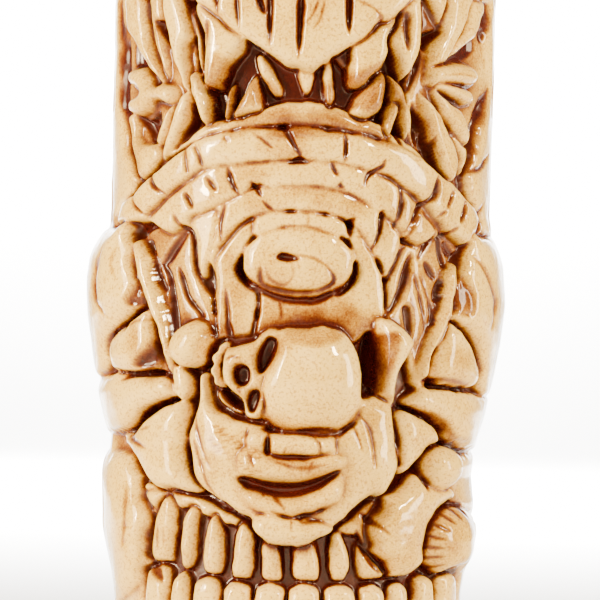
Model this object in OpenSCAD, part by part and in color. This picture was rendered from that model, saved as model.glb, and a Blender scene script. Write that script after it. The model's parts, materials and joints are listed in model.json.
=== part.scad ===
// Tiki mug: a tall footed cup with a carved idol in high relief all round.
// Frame: millimetres, +Z up, origin on the table under the cup's axis, idol facing -Y.
// "Left" and "right" are as seen by someone who faces the idol.

/* [Cup] */
// Height from the table to the drinking rim
cup_h = 180; // [170:1:190]
// Radius of the cup's wall under the relief
ground_r = 34; // [33:0.5:35]
// Radius of the drinking hollow
hollow_r = 30.5; // [29:0.5:31]
// Thickness of the floor above the foot recess
floor_t = 6; // [4:0.5:9]
// Outer radius of the drinking rim
rim_r = 39.6; // [38.5:0.1:40]
// Height of the smooth rim band
rim_h = 8; // [5:0.5:9]

/* [Foot] */
// Outer radius of the bare foot ring
foot_r = 33; // [31:0.5:34]
// Width of the bare foot ring
foot_w = 6; // [4:0.5:9]
// Depth of the recess inside the foot ring
foot_recess = 1.5; // [1:0.25:2.5]

/* [Relief] */
// Height of low carving above the wall, such as leaves and strands
low_relief = 5.2; // [4:0.1:5.6]
// Height of middle carving above the wall, such as brow courses
mid_relief = 6.4; // [5:0.1:7]
// Height of the lower face above the wall
face_relief = 9.6; // [8:0.2:10.4]
// Height of the big jaw's teeth above the wall
tooth_relief = 3; // [2:0.25:4]
// Radius of the cranium of the nose skull
cranium_r = 10.5; // [9:0.25:11]
// Radius of the stitched ball
ball_r = 7.5; // [6:0.25:8]
// Length of an upper tooth in the big jaw
tooth_l = 11; // [9:0.5:12]

/* [Hidden] */
$fn = 96;
cream = [0.90, 0.82, 0.69];
tan = [0.84, 0.72, 0.55];
amber = [0.72, 0.50, 0.28];
low_r = ground_r + low_relief;
mid_r = ground_r + mid_relief;
face_r = ground_r + face_relief;
tooth_r = ground_r + tooth_relief;

// ---- helpers ----

// Tube standing on the cup's wall, from the wall out to radius r
module wall_tube(r, low = 0, high = cup_h) {
    translate([0, 0, low]) difference() {
        cylinder(r = r, h = high - low);
        translate([0, 0, -1]) cylinder(r = ground_r, h = high - low + 2);
    }
}

// Relief on the idol's front: the child outline is drawn as seen from the front, x across and z up
module front(r) {
    intersection() {
        wall_tube(r);
        rotate([90, 0, 0]) linear_extrude(60) children();
    }
}

// The same, turned about the cup's axis by an angle
module turned(angle, r) {
    rotate([0, 0, angle]) front(r) children();
}

// Keeps what stands proud of the cup's wall
module proud() {
    difference() {
        children();
        cylinder(r = ground_r, h = cup_h);
    }
}

// Point at an angle round the cup (0 is the front, positive to the right), radius and height
function at(angle, r, z) = [r * sin(angle), -r * cos(angle), z];

// Rounded limb on the wall between two heights, standing out by bulge, inside an outline drawn as seen
// from an angle
module limb(angle, low, high, bulge) {
    profile = [for (i = [0:10]) [ground_r + bulge * pow(sin(18 * i), 0.6), low + (high - low) * i / 10]];
    intersection() {
        rotate_extrude() polygon(profile);
        rotate([0, 0, angle]) rotate([90, 0, 0]) linear_extrude(60) children();
    }
}

// Height of a brow arch at x: highest in the middle, falling to the ends
function arch(x, top, half, drop) = top - drop * pow(abs(x) / half, 2.2);

// Outline of a brow course between two arches over x from -half to half
module course_outline(half, top, drop, depth) {
    steps = 14;
    upper = [for (i = [0:steps]) let (x = -half + 2 * half * i / steps) [x, arch(x, top, half, drop)]];
    lower = [for (i = [steps:-1:0]) let (x = (-half + 2 * half * i / steps) * 0.93)
        [x, arch(x, top, half, drop) - depth]];
    polygon(concat(upper, lower));
}

// Pointed leaf outline: root at the origin, tip at [0, length]
module leaf_outline(length, width) {
    polygon([
        [-width * 0.3, 0], [-width / 2, length * 0.35], [-width * 0.32, length * 0.7], [0, length],
        [width * 0.32, length * 0.7], [width / 2, length * 0.35], [width * 0.3, 0]]);
}

// A leaf on the wall, at an angle round the cup, with its root at height z and leaning by lean degrees
module leaf(angle, z, length, width, lean, r) {
    turned(angle, r) translate([0, z]) rotate(lean) leaf_outline(length, width);
}

// ---- the cup ----

module vessel() color(tan) {
    rotate_extrude($fn = 180) polygon([
        [0, foot_recess], [foot_r - foot_w, foot_recess], [foot_r - foot_w + 0.8, 0],
        [foot_r - 0.8, 0], [foot_r, 0.8], [foot_r, 3], [ground_r, 4],
        [ground_r, cup_h - rim_h - 3], [rim_r, cup_h - rim_h], [rim_r, cup_h - 2.2],
        [rim_r - 1.4, cup_h - 0.3], [rim_r - 3, cup_h], [hollow_r + 1.8, cup_h - 0.3],
        [hollow_r, cup_h - 2.4], [hollow_r, floor_t + foot_recess + 5],
        [hollow_r - 1.6, floor_t + foot_recess + 1.4], [hollow_r - 5, floor_t + foot_recess],
        [0, floor_t + foot_recess]]);
}

// ---- the beast at the top ----

crown_n = 18;
module crown_leaves() color(cream)
    for (i = [0:crown_n - 1]) leaf(i * 360 / crown_n, cup_h - 21, 11.5, 9.5, 0, low_r);

module beast_brow() color(cream)
    front(mid_r) polygon([
        [-31, 150], [-27, 156], [-17, 159.5], [-5, 158.5], [0, 155.5], [5, 158.5], [17, 159.5],
        [27, 156], [31, 150], [27, 150.5], [17, 155.5], [6, 154], [0, 150], [-6, 154], [-17, 155.5],
        [-27, 150.5]]);

module beast_eye(side) color(cream)
    limb(side * 24, 144.8, 154.2, 7.4) polygon([
        [-6, 148.4], [-3.4, 152.6], [0, 153.8], [3.4, 152.6], [6, 148.4], [3, 145.4], [0, 144.9],
        [-3, 145.4]]);

module beast_snout() color(cream)
    front(mid_r + 0.8) polygon([
        [-1.5, 120.6], [-12, 126.6], [-23, 133.6], [-29, 141], [-20, 145.5], [-8, 147.5],
        [-3.5, 152.5], [3.5, 152.5], [8, 147.5], [20, 145.5], [29, 141], [20, 132.6], [11, 125.6],
        [5, 121.5]]);

module beast_fangs_left() color(cream) {
    front(mid_r) polygon([
        [-19.6, 128.6], [-14.5, 127.6], [-14.2, 123], [-17.4, 118], [-19.6, 116.2], [-20, 120]]);
    front(low_r) polygon([[-24.8, 133.8], [-22, 130], [-19.8, 125], [-20, 117.6], [-21.8, 120]]);
}

module beast_fangs_right() color(cream) {
    front(mid_r) polygon([
        [10.6, 125.2], [17.4, 130], [18.2, 126], [15.4, 121], [11.6, 116.8], [10, 118.4]]);
    front(mid_r) polygon([
        [18.4, 130], [22.4, 134], [24.3, 129], [23.8, 123.6], [21.6, 118.6], [19.2, 123.4]]);
}

module beast_inner_teeth() color(tan) {
    front(low_r) polygon([[-9.8, 121.6], [-7, 121.8], [-4, 117.6], [-4.4, 115], [-6.8, 116.4]]);
    front(low_r) polygon([[-0.8, 119.6], [2.6, 119.8], [2, 115.8], [0.8, 115.2]]);
    front(low_r) polygon([[4.8, 121], [6.4, 121.4], [7.6, 115.2], [6, 113.4], [4.4, 114]]);
}

// Spikes that stand on the lower jaw: [x of the root, lean, length, width]
spikes = [
    [-20.6, 14, 8.6, 4], [-15, -4, 7.4, 2.2], [-13.6, -22, 9.4, 4.6], [13.8, -6, 10, 5.6],
    [19.4, 14, 10.6, 5]];
module beast_lower_fangs() color(cream)
    for (s = spikes) front(mid_r - 0.6)
        translate([s[0], 110.6 - abs(s[0]) * 0.06]) rotate(s[1]) leaf_outline(s[2], s[3]);

module beast_lower_jaw() color(amber)
    front(mid_r) polygon([
        [-26, 101.6], [-20, 108], [-13, 110.8], [-4, 112.6], [5, 112.6], [13, 110.4], [19, 107.4],
        [25, 102.6], [19, 105.4], [10, 107.9], [0, 108.7], [-10, 108], [-19, 105.6]]);

// Blades: [x of the root, z of the root, lean, length, width]
left_blades = [
    [-36, 112, 2, 22, 3.4], [-33.4, 134, 196, 18, 5], [-27.4, 135, 192, 20, 5],
    [-24, 114.4, 158, 14, 3.4], [-28.6, 111.4, 155, 9, 2], [-33, 98, 4, 12, 4]];
right_blades = [
    [37, 112, -2, 22, 3.4], [35, 134.4, 153, 17, 5.4], [31, 136, 165, 11, 4],
    [26, 114.6, 202, 19, 4.6], [28.4, 116, 210, 14, 3.6], [24.8, 112, 190, 10, 2.6],
    [33.4, 108, 184, 9, 2.6]];
module blade(b) {
    front(low_r) translate([b[0], b[1]]) rotate(b[2]) leaf_outline(b[3], b[4]);
}
module leaves_left() color(cream) for (b = left_blades) blade(b);
module leaves_right() color(cream) for (b = right_blades) blade(b);

module bone_charm() color(cream)
    limb(-50, 109.6, 120.4, 5.6) polygon([
        [-6.6, 118.6], [-4.6, 120.2], [-2.4, 118.4], [0, 116.6], [4.2, 116.8], [6.6, 118],
        [7.6, 115.4], [6.2, 112.8], [3.6, 113.2], [0, 113.6], [-2.6, 111.8], [-4.8, 110],
        [-6.8, 111.8], [-5.6, 115]]);

module seed_fan() color(cream)
    front(low_r) for (a = [-84, -108]) translate([27.4, 118]) rotate(a) leaf_outline(7.6, 3.6);

// ---- the one-eyed face ----

module brow_course_outer() color(cream)
    front(mid_r) course_outline(33.5, 107.9, 14.5, 6.2);

module brow_course_middle() color(cream)
    front(mid_r - 0.8) course_outline(26.5, 101.2, 11, 4.4);

module brow_course_inner() color(cream)
    front(mid_r - 1) course_outline(19.5, 96.4, 8, 4.6);

module eyelid() color(cream)
    front(mid_r - 1.2) course_outline(11.6, 91.4, 3.6, 2.8);

module eyeball() color(cream)
    intersection() {
        front(mid_r + 1) polygon([
            [-12.4, 80.6], [-9.4, 84.4], [-5, 87.2], [0, 88.2], [5, 87.2], [9.4, 84.4], [12, 80.6],
            [8.4, 76.6], [4, 74.8], [0, 74.3], [-4, 74.8], [-8.6, 76.4]]);
        translate([0, -19, 81]) sphere(r = 22.6);
    }

module face_planks() color(cream) {
    front(low_r) polygon([
        [-17.2, 80.4], [-14, 85.6], [-12.8, 80.6], [-8.6, 75.6], [-8.8, 69.6], [-13.6, 69.4], [-17, 71]]);
    front(low_r) polygon([
        [-8.2, 75], [0, 73.6], [8.4, 75.8], [12.6, 80.6], [11.4, 87.6], [15, 83.6], [18.4, 78],
        [17.6, 70], [13, 66.6], [8, 68.4], [-8.2, 68.6]]);
    front(low_r) polygon([
        [-21.6, 86], [-17, 90.6], [-16.6, 86], [-18.2, 81.6], [-18.8, 77.8], [-21, 80.4]]);
    front(low_r) polygon([[16.6, 91], [19.6, 88.4], [21, 86.6], [20, 81], [18.4, 79.6], [15.8, 84.4]]);
}

module side_lock_left() color(cream) {
    front(low_r) polygon([
        [-34, 84.4], [-31.6, 83.4], [-27, 74], [-23.4, 63], [-22.4, 54.6], [-25.2, 55.2],
        [-28.4, 65.6], [-32.6, 77]]);
    front(low_r - 0.4) polygon([
        [-29.8, 84], [-25.4, 86.6], [-22.4, 84], [-21, 76], [-18.6, 71.4], [-24, 69], [-25.6, 76]]);
}

module side_lock_right() color(cream) {
    front(low_r) polygon([
        [34, 85.4], [31.6, 82.4], [30, 74.6], [26, 65], [23.6, 55], [26, 54.4], [28.6, 60.6],
        [31.4, 70], [34.6, 79.6]]);
    front(low_r - 0.4) polygon([
        [29.4, 84.4], [25, 83], [21.6, 84.6], [20.4, 74], [20, 70.6], [24.2, 66.6], [26.6, 71]]);
}

// ---- the nose: a skull on its side with a bone through it ----

module nose_skull() color(cream)
    proud() translate([3.4, -35.6, 58]) sphere(r = cranium_r);

module nose_skull_face() color(cream)
    limb(0, 53.4, 65.4, 9.8) polygon([
        [-6.4, 65], [-10, 64.9], [-14.6, 64.4], [-16.2, 61], [-15.4, 57], [-13.6, 54.8], [-9, 54],
        [-6.6, 53.6]]);

module nose_skull_jaw() color(cream) {
    limb(0, 49.2, 53, 8) polygon([[-16.4, 51.6], [-12, 49.6], [-8, 49.8], [-7.6, 53], [-14, 52.6]]);
    for (i = [0:3]) limb(0, 63.4 - i * 2.7, 65.8 - i * 2.7, 8.6)
        translate([-18.6, 60]) square([2, 12], center = true);
}

module nose_bone_left() color(cream)
    limb(-34, 54.2, 69.4, 8.4) polygon([
        [-5.6, 63.6], [-4.6, 67], [-1, 69], [3, 67.6], [4.2, 64.6], [1.2, 60.6], [0.8, 55],
        [-2.2, 54.6], [-3.8, 58], [-3.4, 60.8]]);

module nose_bone_right() color(cream)
    limb(32, 54.2, 69.4, 8.4) polygon([
        [-5, 67.6], [-1.6, 69.2], [2.4, 67], [2.6, 64], [0.4, 60], [0.6, 55], [-2.8, 55.4], [-3.4, 60],
        [-5.4, 63.6]]);

// ---- the lower face ----

module cheeks() color(cream)
    difference() {
        front(face_r - 2) polygon([
            [-21.6, 53], [-23.2, 47], [-22.4, 41], [-20, 36], [-14, 32.4], [-8, 30.4], [-2, 28.6],
            [4, 28.4], [9, 28.8], [14, 32.6], [19, 36], [24.6, 40], [21.6, 46], [20.8, 53], [20, 58.6],
            [16.6, 56], [14, 51.4], [8, 49.4], [-8, 49.6], [-14, 51], [-18.4, 55]]);
        translate([0, 0, 30]) rotate([90, 0, 0]) linear_extrude(60) polygon([
            [-10.4, 14.4], [10, 15.4], [10, 0.4], [-9.8, 0.6]]);
    }

module upper_teeth() color(cream)
    for (t = [[-9, -5.2, 44.6], [-4.2, 1.4, 43.2], [1.6, 5.4, 43.4], [5.6, 8.6, 44]])
        front(face_r - 0.6) polygon([[t[0], 48.4], [t[1], 48.4], [t[1] - 0.2, t[2]], [t[0] + 0.2, t[2]]]);

module upper_lip() color(cream)
    front(face_r) polygon([
        [-10.4, 43.8], [-9.4, 44.2], [-5, 42.8], [3, 42.6], [9, 43.4], [9.8, 41], [5, 38.4], [0, 37.4],
        [-6, 37.8], [-10, 38.6], [-11, 41]]);

module lower_lip() color(cream)
    front(face_r) polygon([
        [-9.8, 36], [-4, 35.6], [0, 34.8], [5, 36], [9.8, 38.8], [9.8, 33.4], [4, 31.4], [0, 30.8],
        [-4, 31], [-8, 32]]);

module chin() color(cream)
    front(face_r + 0.6) polygon([
        [-8.4, 29.6], [-3, 30.4], [2.6, 30.2], [8.6, 28.6], [6, 26.8], [2.6, 25], [-2, 24.6], [-6, 26]]);

// ---- arms and hands ----

module shoulder(side) color(cream)
    limb(side * 92, 66.4, 91.6, 9) polygon([
        [-21, 86], [-12, 91], [10, 91.4], [20, 87], [22, 76], [18, 67.4], [-16, 66.6], [-22, 74]]);

module upper_arm(side) color(cream)
    limb(side * 74, 57.8, 68.8, 9) polygon([
        [-19, 58.4], [-21, 63], [-17, 68.2], [16, 68.4], [20, 63], [17, 58]]);

module forearm(side) color(cream)
    limb(side * 72, 45.6, 57.4, 8.2) polygon([
        [-21, 55.6], [-18, 57.2], [16, 57], [21, 52], [17, 46], [2, 46], [-12, 50.4], [-20, 52.4]]);

module hand_left() color(cream)
    limb(-52, 35, 49.6, 8) polygon([
        [-13, 44], [-11, 47.6], [0, 49.4], [13, 48.6], [14, 43], [10, 38], [2, 35.2], [-8, 36.4]]);

module hand_right() color(cream) {
    limb(56, 34.6, 46.4, 8) polygon([
        [-11, 42.4], [-8, 45], [0, 46.2], [7, 44], [7.6, 38], [2, 35], [-5, 36.4], [-12, 38]]);
    limb(34, 17.6, 34, 8) polygon([
        [-9, 28], [-6, 32.6], [2, 33.8], [5.6, 30], [4.4, 24.6], [6, 20.6], [2, 18], [-4, 19.4],
        [-8, 23.4]]);
}

module stitched_ball() color(cream)
    proud() translate(at(62, ground_r - 0.8, 26.4)) sphere(r = ball_r);

module haunch(side, high) color(cream)
    limb(side * 90, 9, high, 5.6) polygon([
        [-17, 10], [-19, 16], [-18, 26], [-14, 33.6], [14, 34], [19, 26], [19, 14], [16, 9.6]]);

// ---- the big jaw at the foot ----

module jaw_lip() color(amber)
    front(tooth_r + 1.4) polygon([
        [-26, 34.2], [-20, 35], [-14, 32.4], [-8, 30], [-8.6, 29], [-14, 30.6], [-20, 32.2],
        [-23, 31.8]]);

tooth_n = 26;
module tooth_row_upper() color(cream)
    for (i = [0:tooth_n - 1])
        let (z = i < 3 || i > tooth_n - 4 ? 17 : 20)
        turned(i * 360 / tooth_n, tooth_r) polygon([
            [-2.8, z], [2.8, z], [2.4, z + tooth_l], [-2.4, z + tooth_l]]);

module tooth_row_lower() color(cream)
    for (i = [0:tooth_n - 1])
        turned((i + 0.5) * 360 / tooth_n, tooth_r + 0.6) polygon([
            [-3.4, 8], [3.4, 8], [3.2, 14.6], [1.6, 16.4], [-1.6, 16.4], [-3.2, 14.6]]);

module plinth() color(cream)
    wall_tube(tooth_r, 4, 7.4);

// ---- the back ----

back_leaf_rows = [[101, 6, 0], [118, 7, 0.5], [135, 6, 0]];
module back_leaves() color(cream)
    for (row = back_leaf_rows, i = [0:row[1] - 1])
        leaf(180 + (i - (row[1] - 1) / 2) * 23, row[0] + 5, 19, 12, 0, low_r);

module back_courses() color(cream)
    for (k = [0:1]) intersection() {
        wall_tube(low_r, 88 + k * 7.2, 94.4 + k * 7.2);
        translate([-60, 12, 80]) cube([120, 60, 40]);
    }

module back_locks() color(cream)
    for (i = [-4:4]) turned(180 + i * 8.6, low_r) polygon([
        [-2.4, 86], [2.4, 86], [1.9, 50], [0, 41], [-1.9, 50]]);

// ---- what is drawn ----

vessel();
crown_leaves();
beast_brow();
beast_eye(-1);  // beast_eye_left
beast_eye(1);  // beast_eye_right
beast_snout();
beast_fangs_left();
beast_fangs_right();
beast_inner_teeth();
beast_lower_fangs();
beast_lower_jaw();
leaves_left();
leaves_right();
bone_charm();
seed_fan();
brow_course_outer();
brow_course_middle();
brow_course_inner();
eyelid();
eyeball();
face_planks();
side_lock_left();
side_lock_right();
nose_skull();
nose_skull_face();
nose_skull_jaw();
nose_bone_left();
nose_bone_right();
cheeks();
upper_teeth();
upper_lip();
lower_lip();
chin();
shoulder(-1);  // shoulder_left
shoulder(1);  // shoulder_right
upper_arm(-1);  // upper_arm_left
upper_arm(1);  // upper_arm_right
forearm(-1);  // forearm_left
forearm(1);  // forearm_right
hand_left();
hand_right();
stitched_ball();
haunch(-1, 34);  // haunch_left
haunch(1, 34);  // haunch_right
jaw_lip();
tooth_row_upper();
tooth_row_lower();
plinth();
back_leaves();
back_courses();
back_locks();
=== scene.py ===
import json
import math
import bpy
import numpy as np
from mathutils import Matrix, Vector


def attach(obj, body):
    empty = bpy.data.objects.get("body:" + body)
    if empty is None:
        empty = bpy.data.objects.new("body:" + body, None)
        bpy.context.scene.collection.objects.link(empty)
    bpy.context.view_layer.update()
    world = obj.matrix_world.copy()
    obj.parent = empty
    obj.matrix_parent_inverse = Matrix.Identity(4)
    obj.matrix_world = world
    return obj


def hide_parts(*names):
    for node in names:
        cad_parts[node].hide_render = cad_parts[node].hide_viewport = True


# The mug is a plain cup with carved pieces round it. The carving is one radius per point of a grid
# of angle and height. Plates, bosses, grooves and pits are drawn on the grid one after another,
# and then each named part is cut out of it as a closed piece.
#
# Lengths are in mm, as in the CAD, and new_mesh turns them into metres. Angles start at the face
# (-Y) and grow towards +X. Drawing is done on a card, an upright plane in front of the cup: u runs
# to the viewer's right and v up, both as the camera sees them.

STEP = 0.26              # spacing of the grid
GRID_RADIUS = 39         # where the grid has that spacing
GRID_FRONT = 108         # degrees to each side of the face with the full spacing
BACK_SPACING = 2.0       # how much wider the grid is beyond them
GRID_BOTTOM, GRID_TOP = 3.2, 171.0
WALL = 34.0              # radius of the cup's plain wall, behind every carved piece
BODY = [(0, 34.2), (30, 34.3), (48, 35.2), (70, 36.0), (100, 36.6), (171, 36.8)]  # height, radius
CARD = 40.0              # the card's distance from the cup's axis
EYE = 900.0              # the camera's distance from the cup's axis
MID = 74.0               # the camera's height
TURN = 1.36              # radians from the face; beyond this the card wraps on round the cup
WRAP = 0.5               # how fast u grows there
FOOT_TOP = 7.3           # top of the plinth
CROWN_BOTTOM = 158.6     # where the crown of leaves starts
MOST = 46.6              # radius that no carving passes
FLANK_TOP = 158.4        # top of the carving that the outline holds
FLANK_GAP = 0.9          # depth of the gaps between the arms on the flanks
POOL_LEVEL = 35.7        # ground lower than this stands full of wash
HIDDEN_WASH = 0.6        # wash on the backs of the pieces, which are not seen
# how far the mug reaches at the sides, as (height, radius)
LEFT_OUTLINE = [(8, 36.8), (14, 37.3), (18, 38), (22, 39), (26, 39.9), (38, 40.3), (43, 39.4),
                (46, 39.2), (50, 40.4), (54, 41.3), (60, 42.3), (66, 43.2), (70, 43.9), (76, 44.3),
                (82, 43.7), (84, 43), (88, 40.6), (92, 39.3), (159, 39.9)]
RIGHT_OUTLINE = [(8, 35), (14, 35.3), (18, 35.9), (22, 37.6), (26, 38.5), (30, 38.2), (34, 37.4),
                 (38, 37), (42, 37.4), (46, 38.1), (50, 39.4), (54, 40.3), (60, 41.5), (66, 42.6),
                 (74, 43.5), (82, 42.8), (84, 42.2), (88, 40.6), (92, 39.8), (159, 40.6)]

# outline of the cup as (radius, height): under the foot, up the wall, over the lip, down inside
CUP = [(0, 1.5), (27, 1.5), (27.8, 0), (32.2, 0), (33, 0.8), (33, 3), (34, 4), (34, 168.6),
       (36.5, 169.4), (38.4, 170.6), (39.3, 172.4), (39.5, 175), (39.4, 177.6), (38.6, 179.3),
       (36.9, 180), (33.6, 180), (31.8, 179.3), (30.8, 177.6), (30.5, 175), (30.5, 12.5),
       (29.8, 9.9), (28.2, 8.2), (25.5, 7.5), (0, 7.5)]
CUP_SEGMENTS = 320


# ---------- drawing on the grid ----------

class Field:
    """The carving: radius H and part number L at each height z and angle th of the grid.

    ink and tone say how much of the brown wash is held by the cuts and by the stains; tone also holds
    painted shade on the lower part of the small skull.
    """

    def __init__(self, step):
        front = np.deg2rad(GRID_FRONT)
        n = int(round(2 * front * GRID_RADIUS / step))
        m = int(round((2 * np.pi - 2 * front) * GRID_RADIUS / (step * BACK_SPACING)))
        back = np.linspace(front, 2 * np.pi - front, m + 1)[1:-1]
        self.th = np.concatenate([np.linspace(-front, front, n + 1), back])
        rows = int(round((GRID_TOP - GRID_BOTTOM) / step)) + 1
        self.z = np.linspace(GRID_BOTTOM, GRID_TOP, rows)
        self.step = step
        body = np.interp(self.z, [z for z, r in BODY], [r for z, r in BODY])
        self.H = np.repeat(body[:, None], len(self.th), 1)
        self.L = np.zeros(self.H.shape, int)
        self.ink = np.zeros(self.H.shape)
        self.tone = np.zeros(self.H.shape)
        self.names = ["wall"]
        self.ref = 40.0      # radius of the surface that the drawing is thrown on to
        self.turn = 0.0      # angle in degrees of the middle of the card
        self.cards = {}
        self.warp = 0.20 * cloud(self, 1.7, 21)   # makes outlines and grooves a little ragged

    def card(self):
        """The u of each column of the grid, and the scale from its v to its height."""
        key = (self.ref, self.turn)
        if key not in self.cards:
            t = (self.th - np.deg2rad(self.turn) + np.pi) % (2 * np.pi) - np.pi
            c = np.clip(t, -TURN, TURN)
            k = (EYE - CARD) / (EYE - self.ref * np.cos(c))
            self.cards[key] = (self.ref * k * (np.sin(c) + (t - c) * WRAP), k)
        return self.cards[key]

    def window(self, p, margin=0.0):
        """The part of the grid round the points p, and its u and v there; None if it is empty."""
        u, k = self.card()
        (u0, v0), (u1, v1) = p.min(0) - margin, p.max(0) + margin
        cols = np.nonzero((u >= u0) & (u <= u1))[0]
        z0 = min(MID + (v0 - MID) / k.min(), MID + (v0 - MID) / k.max())
        z1 = max(MID + (v1 - MID) / k.min(), MID + (v1 - MID) / k.max())
        r0, r1 = np.searchsorted(self.z, [z0, z1])
        if len(cols) == 0 or r0 >= r1:
            return None
        idx = np.ix_(np.arange(r0, r1), cols)
        U = np.broadcast_to(u[cols][None, :], (r1 - r0, len(cols)))
        V = MID + (self.z[r0:r1, None] - MID) * k[cols][None, :]
        return idx, U, V

    def name(self, part):
        """The number of a part."""
        if part not in self.names:
            self.names.append(part)
        return self.names.index(part)

    def put(self, idx, where, radius, part):
        """Set the radius and the part where asked, wiping off the ink that lay there."""
        self.H[idx] = np.where(where, radius, self.H[idx])
        self.ink[idx] = np.where(where, 0, self.ink[idx])
        self.L[idx] = np.where(where, self.name(part), self.L[idx])

    def plate(self, part, top, low, edge, pts, crown=0.0, ball=None, sharp=False):
        """A raised piece with its outline through pts, its edge rounded over a width.

        top is the radius of its flat and low the radius at its outline, or None for the radius
        already there. crown lifts its middle. ball = (u, v, ru, rv, drop) lowers it away from a
        centre instead. sharp keeps the corners of the outline.
        """
        p = np.array(pts, float) if sharp else spline(pts, True)
        moat = 0.7 if low is not None and edge > 0.2 else 0.0
        win = self.window(p, moat)
        if win is None:
            return
        idx, U, V = win
        d = inside(U, V, p) + self.warp[idx]
        if moat:
            dug = np.minimum(self.H[idx], low - 4.0 * d)
            self.H[idx] = np.where(d > 0, self.H[idx], dug)
        t = np.clip(d / edge, 0, 1)
        if ball:
            u, v, ru, rv, drop = ball
            q = np.clip(((U - u) / ru)**2 + ((V - v) / rv)**2, 0, 1)
            top = top - drop * (1 - np.sqrt(1 - q))
        if crown:
            top = top + crown * np.clip(d / max(d.max(), 1e-6), 0, 1)**0.7
        base = self.H[idx] if low is None else low
        self.put(idx, d > 0, base + (top - base) * np.sqrt(1 - (1 - t)**2), part)

    def boss(self, part, centre, size, top, low, rot=0.0, power=2.0, roundness=2.0, over=True):
        """A rounded boss on an ellipse, or on a squarer outline where power is over 2.

        size is its half width and half height, and over keeps whatever already stands higher.
        """
        u, v = centre
        reach = 1.3 * max(size)
        idx, U, V = self.window(np.array([[u - reach, v - reach], [u + reach, v + reach]]))
        a = np.deg2rad(rot)
        x = (U - u) * np.cos(a) + (V - v) * np.sin(a)
        y = -(U - u) * np.sin(a) + (V - v) * np.cos(a)
        q = (np.abs(x / size[0])**power + np.abs(y / size[1])**power)**(1 / power)
        new = low + (top - low) * np.clip(1 - q**roundness, 0, 1)**(1 / roundness)
        where = (q < 1) & (new > self.H[idx]) if over else q < 1
        self.put(idx, where, new, part)

    def stain_and_shade(self, pts, amount, soft=3.0):
        """A patch where the brown wash has stayed, fading out towards its outline; once used for painted
        shade on the small skull.
        """
        p = spline(pts, True)
        win = self.window(p)
        if win is None:
            return
        idx, U, V = win
        t = np.clip(inside(U, V, p) / soft, 0, 1)
        self.tone[idx] = np.maximum(self.tone[idx], amount * t * t * (3 - 2 * t))


class Cuts:
    """A group of grooves and pits; where they cross, the deeper one counts.

    wide and deep scale the grooves drawn after they are set.
    """

    def __init__(self, f, wide=1.0, deep=1.0):
        self.f = f
        self.wide = wide
        self.deep = deep
        self.D = np.zeros(f.H.shape)
        self.ink = np.zeros(f.H.shape)

    def groove(self, pts, width=1.0, depth=1.0, end_width=None, ends=(0.3, 0.3)):
        """A groove along pts; ends are the shares of its length over which it runs out."""
        p = spline(pts)
        w0 = width * self.wide
        w1 = (width if end_width is None else end_width) * self.wide
        win = self.f.window(p, max(w0, w1))
        if win is None:
            return
        idx, U, V = win
        q, s = along(U, V, p)
        d = depth * self.deep
        q = q + 0.6 * self.f.warp[idx]
        half = 0.5 * (w0 + (w1 - w0) * s)
        e = np.ones(U.shape)
        if ends[0]:
            e = e * np.clip(s / ends[0], 0, 1)**0.5
        if ends[1]:
            e = e * np.clip((1 - s) / ends[1], 0, 1)**0.5
        half = np.maximum(half * (0.25 + 0.75 * e), 0.05)
        t = np.clip(q / (half * 1.25), 0, 1)
        cut = d * (0.35 + 0.65 * e) * (1 - t**2)**2
        self.D[idx] = np.maximum(self.D[idx], cut)
        strength = min(self.deep, 1) * min(0.25 + 0.45 * d, 0.8)
        ink = strength * (0.4 + 0.6 * e) * np.clip(1.25 - q / (half * 1.1 + 0.12), 0, 1)
        self.ink[idx] = np.maximum(self.ink[idx], ink)

    def pit(self, pts, depth=1.5, edge=0.8, sharp=False):
        """A hollow with its outline through pts and a sloping edge."""
        p = np.array(pts, float) if sharp else spline(pts, True)
        win = self.f.window(p)
        if win is None:
            return
        idx, U, V = win
        q = inside(U, V, p)
        t = np.clip(q / edge, 0, 1)
        self.D[idx] = np.maximum(self.D[idx], depth * (t * t * (3 - 2 * t)))
        ink = min(0.2 + 0.3 * depth, 0.75) * np.clip(q / (edge * 0.8), 0, 1)
        self.ink[idx] = np.maximum(self.ink[idx], ink)

    def done(self):
        self.f.H -= self.D
        self.f.ink = np.maximum(self.f.ink, self.ink)


def spline(pts, closed=False, n=5):
    """A smooth curve through the points, with n steps between each two, that never overshoots."""
    p = np.array(pts, float)
    if len(p) < 3:
        return p
    if closed:
        q = np.vstack([p[-1], p, p[0], p[1]])
    else:
        q = np.vstack([2 * p[0] - p[1], p, 2 * p[-1] - p[-2]])
    out = []
    t = np.arange(n)[:, None] / n
    for i in range(1, len(q) - 2):
        a, b, c, d = q[i - 1], q[i], q[i + 1], q[i + 2]
        m0 = (c - a) * 0.5
        m1 = (d - b) * 0.5
        lim = np.hypot(*(c - b))
        for m in (m0, m1):
            s = np.hypot(*m)
            if s > lim:
                m *= lim / s
        out.append((2 * t**3 - 3 * t**2 + 1) * b + (t**3 - 2 * t**2 + t) * m0
                   + (-2 * t**3 + 3 * t**2) * c + (t**3 - t**2) * m1)
    out = np.vstack(out)
    return out if closed else np.vstack([out, p[-1]])


def along(U, V, pts):
    """Distance to a path, and how far along it the nearest point lies, 0 to 1."""
    best = np.full(U.shape, 1e9)
    s = np.zeros(U.shape)
    lengths = np.hypot(*(pts[1:] - pts[:-1]).T)
    total = max(lengths.sum(), 1e-6)
    passed = 0.0
    for (ax, ay), (bx, by), l in zip(pts[:-1], pts[1:], lengths):
        dx, dy = bx - ax, by - ay
        t = np.clip(((U - ax) * dx + (V - ay) * dy) / max(l * l, 1e-9), 0, 1)
        d = (U - ax - t * dx)**2 + (V - ay - t * dy)**2
        nearer = d < best
        best = np.where(nearer, d, best)
        s = np.where(nearer, (passed + t * l) / total, s)
        passed += l
    return np.sqrt(best), s


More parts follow.
